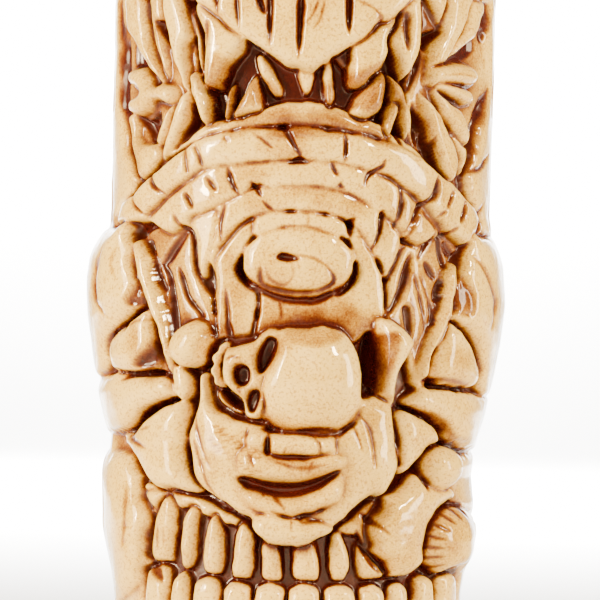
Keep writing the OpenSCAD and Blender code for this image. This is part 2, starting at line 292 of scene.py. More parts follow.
def inside(U, V, pts):
    """Distance to a closed outline, above zero inside it and below zero outside."""
    ring = np.vstack([pts, pts[:1]])
    d, _ = along(U, V, ring)
    hit = np.zeros(U.shape, bool)
    for (ax, ay), (bx, by) in zip(ring[:-1], ring[1:]):
        if ay == by:
            continue
        hit ^= ((ay > V) != (by > V)) & (U < (bx - ax) * (V - ay) / (by - ay) + ax)
    return np.where(hit, d, -d)


def blur(A, n):
    """Smooth twice by a window of 2n+1 grid points, round the cup and up it."""
    for _ in range(2):
        pad = np.concatenate([A[:, -n - 1:], A, A[:, :n]], 1)
        c = np.cumsum(pad, 1)
        A = (c[:, 2 * n + 1:] - c[:, :-2 * n - 1]) / (2 * n + 1)
        pad = np.concatenate([np.repeat(A[:1], n + 1, 0), A, np.repeat(A[-1:], n, 0)], 0)
        c = np.cumsum(pad, 0)
        A = (c[2 * n + 1:] - c[:-2 * n - 1]) / (2 * n + 1)
    return A


def cloud(f, size, seed):
    """Smooth random field of about -1 to 1, with lumps of a given size in mm."""
    nc = max(int(2 * np.pi * GRID_RADIUS / size), 3)
    nr = max(int((f.z[-1] - f.z[0]) / size), 2) + 3
    v = np.random.default_rng(seed).uniform(-1, 1, (nr, nc))
    x = (f.th % (2 * np.pi)) / (2 * np.pi) * nc
    y = (f.z - f.z[0]) / size
    xi, yi = x.astype(int), y.astype(int)
    fx, fy = x - xi, y - yi
    fx = (fx * fx * (3 - 2 * fx))[None, :]
    fy = (fy * fy * (3 - 2 * fy))[:, None]
    a, b = v[np.ix_(yi, xi % nc)], v[np.ix_(yi, (xi + 1) % nc)]
    c, d = v[np.ix_(yi + 1, xi % nc)], v[np.ix_(yi + 1, (xi + 1) % nc)]
    return (a * (1 - fx) + b * fx) * (1 - fy) + (c * (1 - fx) + d * fx) * fy


# ---------- the carving, part by part ----------
#
# A plate is its part, the radius of its top, the radius at its outline, the width of its edge and
# its outline. A groove is its path, its width and depth, and its far width where that differs.

def carve(step):
    """The whole carving, from the back forward: what is drawn later lies over what is there."""
    f = Field(step)
    for draw in (grounds, back_leaves, back_courses, back_locks, back_teeth, crown, beast_head,
                 side_leaves, beast_mouth, beast_cuts, brow, eye, side_locks, face_cuts,
                 haunches, arms, lock_strips, right_hand, big_jaw, nose_bone, muzzle, skull,
                 lower_cuts, stains_and_shade, flanks, plinth):
        draw(f)
    side = hold_outline(f)
    wear(f)
    settle_wash(f, side)
    f.H = np.clip(f.H, WALL + 0.25, MOST)
    return f


def grounds(f):
    """The bare ground of the bands at the back, and of the crown."""
    far = np.abs((f.th + np.pi) % (2 * np.pi) - np.pi) > np.deg2rad(82)
    for part, lo, hi, r in (("back_leaves", 102, 159, 37.2), ("back_courses", 87, 102, 37.4),
                            ("back_locks", 34.5, 87, 36.6), ("tooth_row_upper", 18, 34.5, 34.4)):
        rows = (f.z >= lo) & (f.z < hi)
        f.H[np.ix_(rows, far)] = r
        f.L[np.ix_(rows, far)] = f.name(part)
    rows = f.z >= CROWN_BOTTOM
    f.H[rows] = 37.0
    f.L[rows] = f.name("crown_leaves")


def back_leaves(f):
    """Three rows of leaves behind the beast's head."""
    f.ref = 40.0
    c = Cuts(f)
    for n, z in ((8, 137), (9, 120), (8, 103)):
        for i in range(n):
            f.turn = 180 + (i - (n - 1) / 2) * 19.5
            s = 1 if i % 2 else -1
            f.plate("back_leaves", 40.3, 37.4, 2.6, [
                (-3.5, z), (-6, z + 6), (-5.2, z + 12), (-2.4 + s, z + 17.5), (s * 0.6, z + 21),
                (2.4 + s, z + 17.5), (5.2, z + 12), (6, z + 6), (3.5, z)])
            c.groove([(0, z + 1), (s * 0.4, z + 10), (s * 0.6, z + 19)], 0.9, 0.9, 0.4)
            c.groove([(-0.2, z + 5), (-2.6, z + 9.5)], 0.5, 0.4)
            c.groove([(0.4, z + 7), (2.8, z + 12)], 0.5, 0.4)
    c.done()


def back_courses(f):
    """Two courses of blocks, which carry the brow on round the back."""
    for k in (0, 1):
        z = 87.6 + k * 7.4
        for i in range(-5, 6):
            f.turn = 180 + (i + 0.5 * k) * 16.5
            d = 0.7 if i % 2 else -0.5
            f.plate("back_courses", 39.9 - 0.5 * (1 - k), 37.6, 1.5, [
                (-5.5, z), (-5.5 + d, z + 6.6), (5.4 + d, z + 6.9), (5.5, z + 0.2)])


def back_locks(f):
    """Hair that hangs down the back."""
    c = Cuts(f)
    for i in range(-7, 8):
        f.turn = 180 + i * 9.0
        w = 2.9 + 0.4 * (i % 2)
        f.plate("back_locks", 38.7, 36.8, 1.8, [
            (-w, 87), (-w * 0.9, 70), (-w * 0.8, 52), (-0.6, 40.5 + (i % 2) * 2.5), (w * 0.7, 52),
            (w, 70), (w, 87)])
        c.groove([(-0.9, 84), (-0.3, 70), (-0.7, 56)], 0.5, 0.5, 0.3)
        c.groove([(1.1, 80), (0.8, 66), (0.2, 48)], 0.5, 0.5, 0.3)
    c.done()


def back_teeth(f):
    """Teeth of the big jaw, on round the back."""
    f.ref = 37.5
    for i in range(17):
        f.turn = 72 + i * 13.5
        f.plate("tooth_row_upper", 37.2, 34.4, 1.7, [
            (-3.2, 21), (-2.6, 19), (2.4, 19), (3.1, 21), (3, 28), (1.6, 32.5), (-0.6, 33.6),
            (-2.6, 31), (-3.3, 26)])
        f.turn = 72 + (i + 0.5) * 13.5
        f.plate("tooth_row_lower", 37.7, 34.4, 1.8, [
            (-3.7, 7), (-3.7, 14.6), (-3.1, 16.4), (0, 17.4), (3.1, 16.4), (3.7, 14.6), (3.7, 7)])


def crown(f):
    """A ring of leaves under the lip of the cup."""
    f.ref = 40.0
    c = Cuts(f)
    for i in range(18):
        f.turn = i * 20
        s = 0.5 if i % 2 else -0.5
        f.plate("crown_leaves", 39.6, 37.2, 2.4, [
            (-4.4, 159), (-5.4, 163), (-3.4, 167.5), (s, 172), (3.4, 167.5), (5.4, 163), (4.4, 159)])
        c.groove([(0, 159.5), (0.2, 168)], 0.9, 0.8, 0.3)
    c.done()
    f.turn = 0.0


def beast_head(f):
    """The upper half of the beast, above what the photo shows: eyes, brows and nostrils."""
    plate = f.plate
    plate("wall", 37, 37, 0.1, [(-32, 133), (-32, 158.6), (32, 158.6), (32, 133)], sharp=True)
    c = Cuts(f)
    for s, side in ((-1, "left"), (1, "right")):
        leaves, eye = "leaves_" + side, "beast_eye_" + side
        plate(leaves, 40.2, 37.4, 1.4, [
            (s * 38.2, 130), (s * 38.6, 146), (s * 36.6, 158.4), (s * 50, 158.4), (s * 50, 130)])
        plate(leaves, 40, 37.2, 1.6, [
            (s * 36.6, 132), (s * 37.6, 143), (s * 34.2, 157.6), (s * 33, 146), (s * 33.8, 134)])
        plate(leaves, 39.8, 37.2, 1.4, [
            (s * 33.2, 133), (s * 33.6, 142), (s * 30.8, 156.8), (s * 29.6, 147), (s * 30.4, 135)])
        plate(eye, 39.2, 37.4, 1.4, [
            (s * 6.5, 150.2), (s * 10, 154), (s * 15.5, 155.4), (s * 21, 153.4), (s * 24.5, 149.2),
            (s * 20, 145.9), (s * 14, 145.2), (s * 9, 147)])
        f.boss(eye, (s * 15.4, 150), (5.2, 4.4), 41.3, 38.6)
        plate("beast_brow", 41.2, 37.6, 2, [
            (s * 1, 152.6), (s * 6, 155.2), (s * 17, 157), (s * 27, 152.6), (s * 31.4, 150.4),
            (s * 28.6, 156.8), (s * 18, 160.4), (s * 6, 160.2), (s * 1, 157.4)])
        c.groove([
            (s * 12.2, 150.4), (s * 13.6, 152.4), (s * 16.8, 152.6), (s * 18.8, 150.6),
            (s * 17.6, 148), (s * 14, 147.6), (s * 12.2, 149.4)], 0.7, 0.7, ends=(0, 0))
        c.pit([(s * 14.2, 150.2), (s * 15.4, 151.4), (s * 16.6, 150.2), (s * 15.4, 149)], 0.9, 0.6)
        c.groove([(s * 8, 157.6), (s * 17, 159), (s * 26, 155.6)], 0.8, 0.7)
        c.groove([(s * 6.6, 142.5), (s * 8.2, 144.6), (s * 11.4, 144.2), (s * 12, 141.4)], 1.2, 1.2)
    c.done()


def side_leaves(f):
    """Leaves at both sides of the beast, with the bone charm and the seed fan."""
    plate = f.plate
    plate("leaves_left", 37.2, 37.2, 0.1, [
        (-50, 134), (-20, 134), (-24, 112), (-25, 101), (-32.5, 95.5), (-36, 93),
        (-50, 93)], sharp=True)
    plate("leaves_right", 37.2, 37.2, 0.1, [
        (20, 134), (50, 134), (50, 93), (36, 93), (33, 95), (26, 101), (22, 110)], sharp=True)
    plate("wall", 34.9, 34.9, 0.1, [
        (-24, 134), (-22, 118), (-22, 108), (-14, 108), (14, 108), (22, 106), (23, 120),
        (24, 134)], sharp=True)
    # strips along the outline
    plate("leaves_left", 39.4, 37.6, 1.1, [
        (-37.5, 136), (-36.8, 120), (-37.1, 113), (-36.4, 108), (-35.4, 103), (-33.3, 97.5),
        (-34.5, 94.2), (-36.8, 90.5), (-37.6, 87.5), (-46, 87), (-48, 136)])
    plate("leaves_right", 40.2, 37.6, 1.1, [
        (37, 136), (37, 126), (38, 116), (37.2, 114), (36.4, 110), (35.6, 106), (34.9, 103), (34, 98.4),
        (35, 93.6), (36.6, 90.5), (37.6, 87.5), (46, 87), (48, 136)])
    # left leaves
    plate("leaves_left", 39.5, 37.2, 1.2, [
        (-36, 109.8), (-34.6, 110.6), (-33.4, 105), (-30, 104.6), (-28.6, 102.2), (-32.6, 97.2),
        (-34.8, 103)])
    plate("leaves_left", 39.2, 37, 1.2, [
        (-32.2, 135), (-31.6, 129), (-30.6, 123.5), (-28.2, 117.5), (-28.4, 121), (-29, 126),
        (-29.6, 135)])
    plate("leaves_left", 40.3, 37.2, 1.3, [
        (-36.3, 135), (-35.9, 127), (-34.3, 124.6), (-32.4, 121), (-28.3, 115.9), (-29.7, 120.5),
        (-31.2, 124.5), (-32, 128.5), (-33.2, 135)])
    plate("leaves_left", 40.4, 36.8, 1.5, [
        (-29.2, 135), (-28.4, 129), (-27.5, 124.5), (-26.2, 120), (-23.9, 114.6), (-23.6, 119.5),
        (-24, 123.8), (-22.5, 127), (-23.2, 130.8), (-24.8, 135)])
    plate("leaves_left", 40.2, 37, 1.3, [
        (-23, 115.4), (-25, 114.6), (-26.9, 109), (-28.9, 101.3), (-26.6, 103), (-24.2, 108),
        (-22.8, 112)])
    plate("leaves_left", 39.8, 37, 0.9, [
        (-27, 112.4), (-28.3, 110.5), (-30.2, 105), (-28.8, 104.6), (-27.2, 108.5)])
    # bone charm
    plate("bone_charm", 40.5, 37.2, 1.6, [
        (-35.6, 119.2), (-33.4, 120), (-31.6, 118.2), (-30.6, 116.4), (-28.6, 116.8), (-26.5, 115.8),
        (-26.1, 113.8), (-27.6, 112.6), (-30.3, 113.4), (-31.4, 111.3), (-33.4, 110.2), (-35.4, 111.2),
        (-35.3, 113.4), (-33.4, 115), (-35.6, 116.8)])
    # right leaves
    plate("leaves_right", 40, 37.2, 1.2, [(25.6, 136), (29.6, 136), (29.6, 129.4), (27.6, 131)])
    plate("leaves_right", 40.3, 37, 1.4, [
        (34.8, 136), (35, 131), (33.3, 128.2), (30.5, 123.3), (26.3, 117.6), (26, 119.4), (27.1, 125.7),
        (28.8, 128.7), (30.2, 136)])
    plate("leaves_right", 40, 37.2, 1, [
        (37, 134), (35.6, 127.4), (33.2, 125.1), (29.8, 122.4), (33.1, 129), (34.6, 134)])
    plate("leaves_right", 39.6, 36.4, 0.6, [(22, 114.6), (23.4, 111.5), (23.4, 107.3), (22.3, 110.5)])
    plate("leaves_right", 39.8, 37.2, 1, [
        (31, 108), (33.6, 107), (34.3, 103.5), (33.6, 99.6), (32.2, 103)])
    plate("leaves_right", 40.3, 37, 1.6, [
        (25, 115.8), (27.4, 113.6), (30, 109.4), (32.6, 102.5), (30.8, 97.6), (27.6, 103.5),
        (25.7, 109.5)])
    plate("leaves_right", 40.2, 37.2, 1.5, [
        (27.5, 116.8), (30.4, 114.4), (33, 112.6), (34.6, 108.5), (34.2, 105.4), (30.6, 109.3),
        (28.4, 113)])
    plate("seed_fan", 40.2, 37.4, 1.2, [
        (28.6, 119), (31.6, 118.4), (34.6, 116.6), (35.4, 114.4), (33.6, 113.8), (30.4, 115.6),
        (27.8, 117.2)])
    plate("seed_fan", 40.6, 37.2, 1.8, [
        (26.4, 120.6), (28, 121.4), (30.4, 122), (33.4, 122), (35.8, 120.6), (35.9, 118.4),
        (34.2, 117.2), (31.6, 117.8), (28.4, 118), (27, 117.2)])


def beast_mouth(f):
    """The beast's jaw, fangs and teeth, and the snout that overhangs them."""
    plate = f.plate
    # the lower jaw, a ledge over the brow
    plate("beast_lower_jaw", 39.6, 38.2, 3, [
        (-27.4, 102), (-22.6, 106.9), (-19.5, 109.4), (-15, 110.4), (-10, 111.6), (-5, 113.2),
        (0, 113.8), (5, 113.4), (8, 112.8), (11, 111.5), (15, 110.4), (18, 109), (22.5, 106),
        (27.5, 101), (24, 102.3), (17, 105.6), (8, 107.6), (0, 108.4), (-8, 108), (-16.5, 106.5),
        (-22, 104.6)])
    # lower fangs
    plate("beast_lower_fangs", 40.3, 36.4, 1.1, [
        (-23.6, 118.6), (-21.3, 119), (-18.4, 110.6), (-18.6, 109.2), (-20.4, 108.8), (-21.4, 111)])
    plate("beast_lower_fangs", 39.8, 36.2, 0.7, [(-16.4, 110.2), (-15, 117), (-14.2, 110.6)])
    plate("beast_lower_fangs", 40.2, 36.4, 1.4, [
        (-14.4, 110.2), (-12.6, 114.5), (-10.2, 119), (-9, 116), (-8.2, 112.2), (-11, 111)])
    plate("beast_lower_fangs", 40.5, 36.4, 1.7, [
        (10.3, 111.4), (10.9, 113.6), (12.5, 116.2), (15, 119.2), (16.3, 120.5), (17.4, 119.2),
        (17.5, 116), (16.2, 111.6), (13, 110.4)])
    plate("beast_lower_fangs", 40.4, 36.4, 1.2, [
        (18.2, 119.6), (20.7, 117.3), (21.8, 114.5), (22.5, 111), (22.5, 106), (21.2, 109),
        (19.9, 112.5), (18.3, 114.4)])
    plate("beast_lower_fangs", 40, 36.6, 1, [
        (18.3, 113.6), (20.4, 113.4), (19.6, 109), (18.2, 106.9), (17.2, 109)])
    # teeth inside the mouth
    plate("beast_inner_teeth", 37.6, 35.2, 1.1, [
        (-10.4, 122.6), (-8.4, 122.9), (-4.3, 116.4), (-4.5, 114.7), (-6.4, 114.9), (-9, 118.6)])
    plate("beast_inner_teeth", 37.4, 35.2, 1.2, [
        (-1, 120.6), (2.8, 120.4), (2.2, 116.2), (0.9, 115), (-0.2, 117)])
    plate("beast_inner_teeth", 37.4, 35.2, 1, [
        (4.4, 122), (6.4, 122.2), (7.4, 115), (6.9, 113), (5.3, 113.4)])
    plate("beast_inner_teeth", 37, 35.4, 1, [(6.6, 123.4), (12, 125.2), (10.4, 119.8), (8.2, 121)])
    # upper fangs, small and large
    plate("beast_fangs_left", 39.2, 36.6, 1.2, [
        (-25.2, 136), (-23.6, 132.8), (-21.4, 130), (-19.6, 126.4), (-19.4, 122), (-21, 118),
        (-22.2, 121.8), (-22.6, 126.6)])
    plate("beast_fangs_left", 40.8, 36.6, 1.9, [
        (-22.2, 133), (-20.6, 127), (-20.3, 123), (-20.5, 118.5), (-19.7, 115.5), (-17.4, 115.6),
        (-16.7, 117.4), (-15.2, 120.4), (-12.3, 124.4), (-11.6, 128.4), (-15, 131)])
    plate("beast_fangs_right", 40.9, 36.6, 1.9, [
        (9.8, 128), (9.9, 123), (9.6, 119.4), (9.9, 117.3), (11.5, 116.3), (13.2, 117.2), (14.8, 119),
        (16.3, 120.4), (17.5, 122.6), (18.4, 125.5), (19.4, 129), (20.6, 133), (14, 132)])
    plate("beast_fangs_right", 40.6, 36.6, 1.7, [
        (20.8, 136), (24, 136), (24.7, 129.5), (24.6, 126), (23.6, 122.4), (21.4, 117.9), (20.4, 119.4),
        (18.9, 123.5), (17.6, 126.4), (19.5, 130)])
    # snout plate
    plate("beast_snout", 41.3, 38.6, 1.8, [
        (-23.4, 134.4), (-20, 132.2), (-17, 129.8), (-15, 128), (-12.5, 126.5), (-10, 124.9),
        (-7.5, 123.3), (-5, 121.8), (-3, 120.7), (0, 120.2), (2.5, 119.8), (5, 121.8), (7.5, 123.6),
        (10, 125), (12, 126.2), (14, 128), (15, 129.3), (17.5, 130.2), (20, 132.5), (22, 134.4),
        (28, 140.5), (24, 145.5), (10, 147), (4.5, 152.5), (-4.5, 152.5), (-10, 147), (-24, 145.5),
        (-29, 140)])


def beast_cuts(f):
    """Cuts in the snout, the fangs and the leaves."""
    c = Cuts(f)
    groove, pit = c.groove, c.pit
    groove([(-17.2, 135.5), (-17, 133), (-16.8, 131)], 1, 1.2, 0.4)
    groove([(-13.2, 135.8), (-12.9, 131), (-12.5, 127.7)], 0.9, 1.2, 0.3)
    pit([(-9.9, 136.5), (-8.6, 136), (-7.2, 131.2), (-8, 130.8), (-9.4, 133)], 2.2, 0.7)
    groove([(-6.6, 136), (-6.6, 129), (-6.4, 124.8)], 1.8, 2, 0.7)
    groove([(-0.4, 137), (-0.6, 130), (-0.8, 122)], 2, 2.2, 0.9)
    groove([(9, 137), (9, 131), (9.1, 127.3)], 2.2, 2.2, 0.7)
    groove([(3.2, 135), (1.8, 131), (0.3, 129.2)], 0.4, 0.4)
    groove([(4.2, 134), (3.2, 130), (1.8, 128)], 0.3, 0.3)
    groove([(10.5, 134.2), (13.8, 132.5), (15.3, 130.3), (14, 128.7)], 0.6, 0.4)
    groove([(-19, 129.8), (-19.1, 124)], 0.8, 0.9)
    groove([(20.9, 132), (20.8, 128), (21, 124.3)], 1.5, 1.6, 0.6)
    groove([(-22.2, 118.6), (-21.6, 113)], 0.3, 0.2)
    # gaps and veins of the leaves
    pit([(-31, 129), (-28.6, 129.2), (-27.2, 122.6)], 2.2, 0.7)
    groove([(-24.6, 134), (-22.4, 130), (-20.6, 125), (-21, 119)], 1.3, 1.8)
    groove([
        (-37.4, 134), (-36.7, 120), (-36.9, 113), (-35.8, 108), (-35, 103), (-33, 97.5),
        (-32.2, 96)], 0.9, 1.4, 0.9)
    pit([(-35.4, 126.2), (-33.6, 123.6), (-30, 117.4), (-32.4, 119.8), (-35.6, 120)], 1.6, 0.8)
    pit([(-34.6, 110.2), (-32.6, 109.6), (-30.2, 111.4), (-30.4, 104.6), (-32.6, 105.4)], 1.8, 0.9)
    pit([(-23.2, 114), (-21.6, 109.6), (-24.6, 105.6), (-23.6, 109.6)], 2.2, 0.7)
    pit([(-20.2, 117), (-17.2, 115.4), (-16.6, 110.8), (-18, 110.6)], 1.6, 0.7)
    pit([(25.6, 127.6), (29, 128.4), (27.2, 125.6), (26, 124)], 2.6, 0.8)
    groove([(24.7, 134), (25, 127), (24.7, 122), (23, 116)], 1.3, 1.8)
    pit([(23.8, 114.4), (25, 112), (26.2, 109.6), (24.8, 105), (23.6, 109.8)], 2.2, 0.8)
    pit([(27.3, 107.8), (26.3, 103.3), (29.2, 99.3), (28.2, 103)], 1.6, 0.6)
    pit([(20.4, 110.8), (19.2, 107), (21.2, 105.2)], 1.8, 0.6)
    pit([(26, 110), (25.3, 104.6), (26.9, 103.8)], 1.6, 0.5)
    groove([(37, 134), (36.9, 131), (36.8, 126.2)], 1, 1.3, 0.5)
    groove([(38, 117), (37.1, 114), (36.2, 110), (35.4, 106), (34.8, 103), (33.7, 98.6)], 1.1, 1.6, 0.8)
    groove([(37.6, 103.8), (36.4, 101.4), (34.2, 100)], 0.8, 1)
    pit([(31.6, 97.5), (33.8, 95.4), (34.6, 92.9), (33, 94.2)], 1.4, 0.6)
    pit([(35.6, 128), (33.4, 125), (30.4, 122.6), (34.6, 122.6), (36.2, 124.6)], 1.2, 0.9)
    groove([(28.4, 119.4), (31.8, 119.8), (34.8, 119)], 0.3, 0.2)
    c.done()


def brow(f):
    """The three courses of the brow and the eyelid, on the ground that fills their joints."""
    plate = f.plate
    plate("brow_course_middle", 39.9, None, 0.4, [
        (-31.5, 88.2), (-27.5, 94.5), (-21, 99.6), (-12, 102.4), (-2, 103.2), (8, 102.6), (16, 100.8),
        (22.5, 96.6), (27.5, 91), (30, 86.4), (24, 87), (17, 93), (7, 98.5), (-6, 98.5), (-16, 95.5),
        (-24, 88.5)])
    plate("brow_course_inner", 39.4, None, 0.4, [
        (-20.5, 85), (-19.6, 91.6), (-14.5, 94.4), (-7, 97.3), (1, 97.8), (8, 97), (15, 93.6),
        (19.4, 88.6), (17, 85), (14, 88), (8, 90.6), (1, 91.5), (-6, 91.2), (-12, 88), (-15.5, 84.8)])
    plate("brow_course_outer", 41.4, 40.8, 3.4, [
        (-35.4, 92.6), (-33, 94.9), (-30, 98.3), (-27.5, 100.5), (-25, 102.8), (-22, 104.8),
        (-19, 106.3), (-16.5, 106.8), (-12, 107.8), (-8, 108.2), (-3, 108.4), (0, 108.6), (3, 108.4),
        (8, 107.8), (13, 107), (17, 106), (20, 105.2), (22, 104.2), (24, 103), (26.5, 101), (28, 99.8),
        (31, 97.5), (35.2, 92.6), (36.5, 88), (33, 85), (29.5, 88), (27, 91), (24, 94.3), (22, 96),
        (20, 97.6), (18, 99), (14, 100), (8, 101.7), (3, 102.1), (-4, 102.1), (-12, 101.1),
        (-17, 100.5), (-19.5, 100), (-21, 98.3), (-25, 95.5), (-27, 94), (-29.5, 91.4), (-32.5, 88),
        (-36.5, 88)])
    plate("brow_course_middle", 40.4, 40.1, 3, [
        (-30.5, 88.5), (-28.5, 91.6), (-26, 94), (-23, 96.5), (-20.5, 98.6), (-17, 100), (-12, 100.7),
        (-8, 101.2), (-4, 101.7), (3, 101.7), (8, 101.3), (12, 100.4), (16, 99.3), (19.5, 97.2),
        (21.7, 95.4), (24, 93), (26.5, 90), (28.5, 86.5), (24, 85.5), (20.5, 87.5), (17.5, 91),
        (15, 92.8), (11, 95), (7, 96.3), (1, 97), (-5.5, 96.6), (-9, 96.6), (-14.5, 93.8),
        (-18.5, 91.7), (-22, 88), (-26, 86.5)])
    plate("brow_course_inner", 39.8, 39.6, 3, [
        (-19.5, 84), (-20.5, 88.5), (-18.5, 91.2), (-14.5, 93.3), (-9, 96), (-5.5, 96.2), (1, 96.7),
        (7, 96), (11, 94.7), (15, 92.4), (18.5, 88.5), (17.5, 84), (15.5, 83), (13.5, 86.5), (11, 89.8),
        (7, 91.3), (1, 92.1), (-5, 91.9), (-9.5, 90.8), (-12.5, 88.9), (-14.8, 86.6), (-16.5, 83.5)])
    plate("eyelid", 39.6, 39, 1.4, [
        (-10.4, 89.6), (-7, 91.2), (-5, 91.5), (1, 91.7), (7, 90.9), (9.8, 89.6), (10.6, 86.5),
        (8, 86.8), (4, 88), (-2, 88.6), (-7, 87.2), (-10, 86.6)])


def eye(f):
    """The panels round the eye, and the eyeball."""
    plate = f.plate
    plate("face_planks", 38.7, 38.1, 0.8, [
        (-19.8, 84.5), (-16, 84.3), (-14, 86.6), (-11.6, 89), (-9.2, 90.2), (-9.8, 86.5), (-13.2, 80.4),
        (-11.8, 78), (-8.4, 75.2), (-9, 69), (-10, 64.6), (-17, 64.6), (-17.3, 70), (-17.8, 77),
        (-18.6, 81)])
    plate("face_planks", 38.7, 38.1, 0.8, [
        (-8, 75.2), (-4, 73.7), (0, 73.3), (4, 73.7), (8, 75.2), (11, 76.6), (12.8, 79.6), (11.2, 83.4),
        (10.2, 88.6), (12.4, 88.4), (14.6, 85.5), (17.2, 81), (18.4, 76.5), (18.4, 71), (16.6, 66),
        (12.5, 64.8), (-9.6, 64.6), (-8.6, 69.6)])
    plate("face_planks", 39, 38.3, 1, [
        (-22.2, 89.6), (-18.5, 91.4), (-16.6, 91.2), (-17.1, 87), (-18.5, 82.4), (-19.4, 78.2),
        (-21.3, 80), (-22, 84.5)])
    plate("face_planks", 39, 38.3, 1, [
        (16.6, 91.2), (19, 90), (21.4, 86.6), (20.6, 82), (18.5, 78.4), (17.6, 81), (15.8, 84.4),
        (16.6, 87.8)])
    f.boss("eyeball", (0, 81), (11.9, 7.7), 41, 38.9, power=2.15, over=False, roundness=1.7)


def side_locks(f):
    """Hair at both sides of the eye."""
    plate = f.plate
    plate("side_lock_left", 38.6, 37.9, 0.9, [
        (-36.5, 88), (-33, 88.4), (-30.2, 88.6), (-26.2, 86.6), (-23, 88.2), (-21.6, 86), (-21, 80),
        (-20, 77.4), (-18.3, 74.4), (-17.4, 70), (-17.2, 66), (-21, 66), (-25.2, 60), (-25.6, 56),
        (-28.5, 60), (-31.4, 68), (-34, 77.5), (-35.5, 83)])
    plate("side_lock_right", 38.6, 37.9, 0.9, [
        (37, 88), (33, 85.4), (29.8, 87.6), (28, 86.8), (24.3, 85.3), (21.4, 86), (20.6, 82),
        (18.7, 78.4), (18.7, 73), (18.2, 70), (22, 66), (24.5, 58), (26.4, 56), (29, 62), (32, 70),
        (34.4, 78), (36, 83)])


def face_cuts(f):
    """Cuts in the brow, round the eye and in the hair."""
    c = Cuts(f, wide=0.75, deep=0.45)
    brow_cuts(c)
    eye_cuts(c)
    lock_cuts(c)
    c.done()


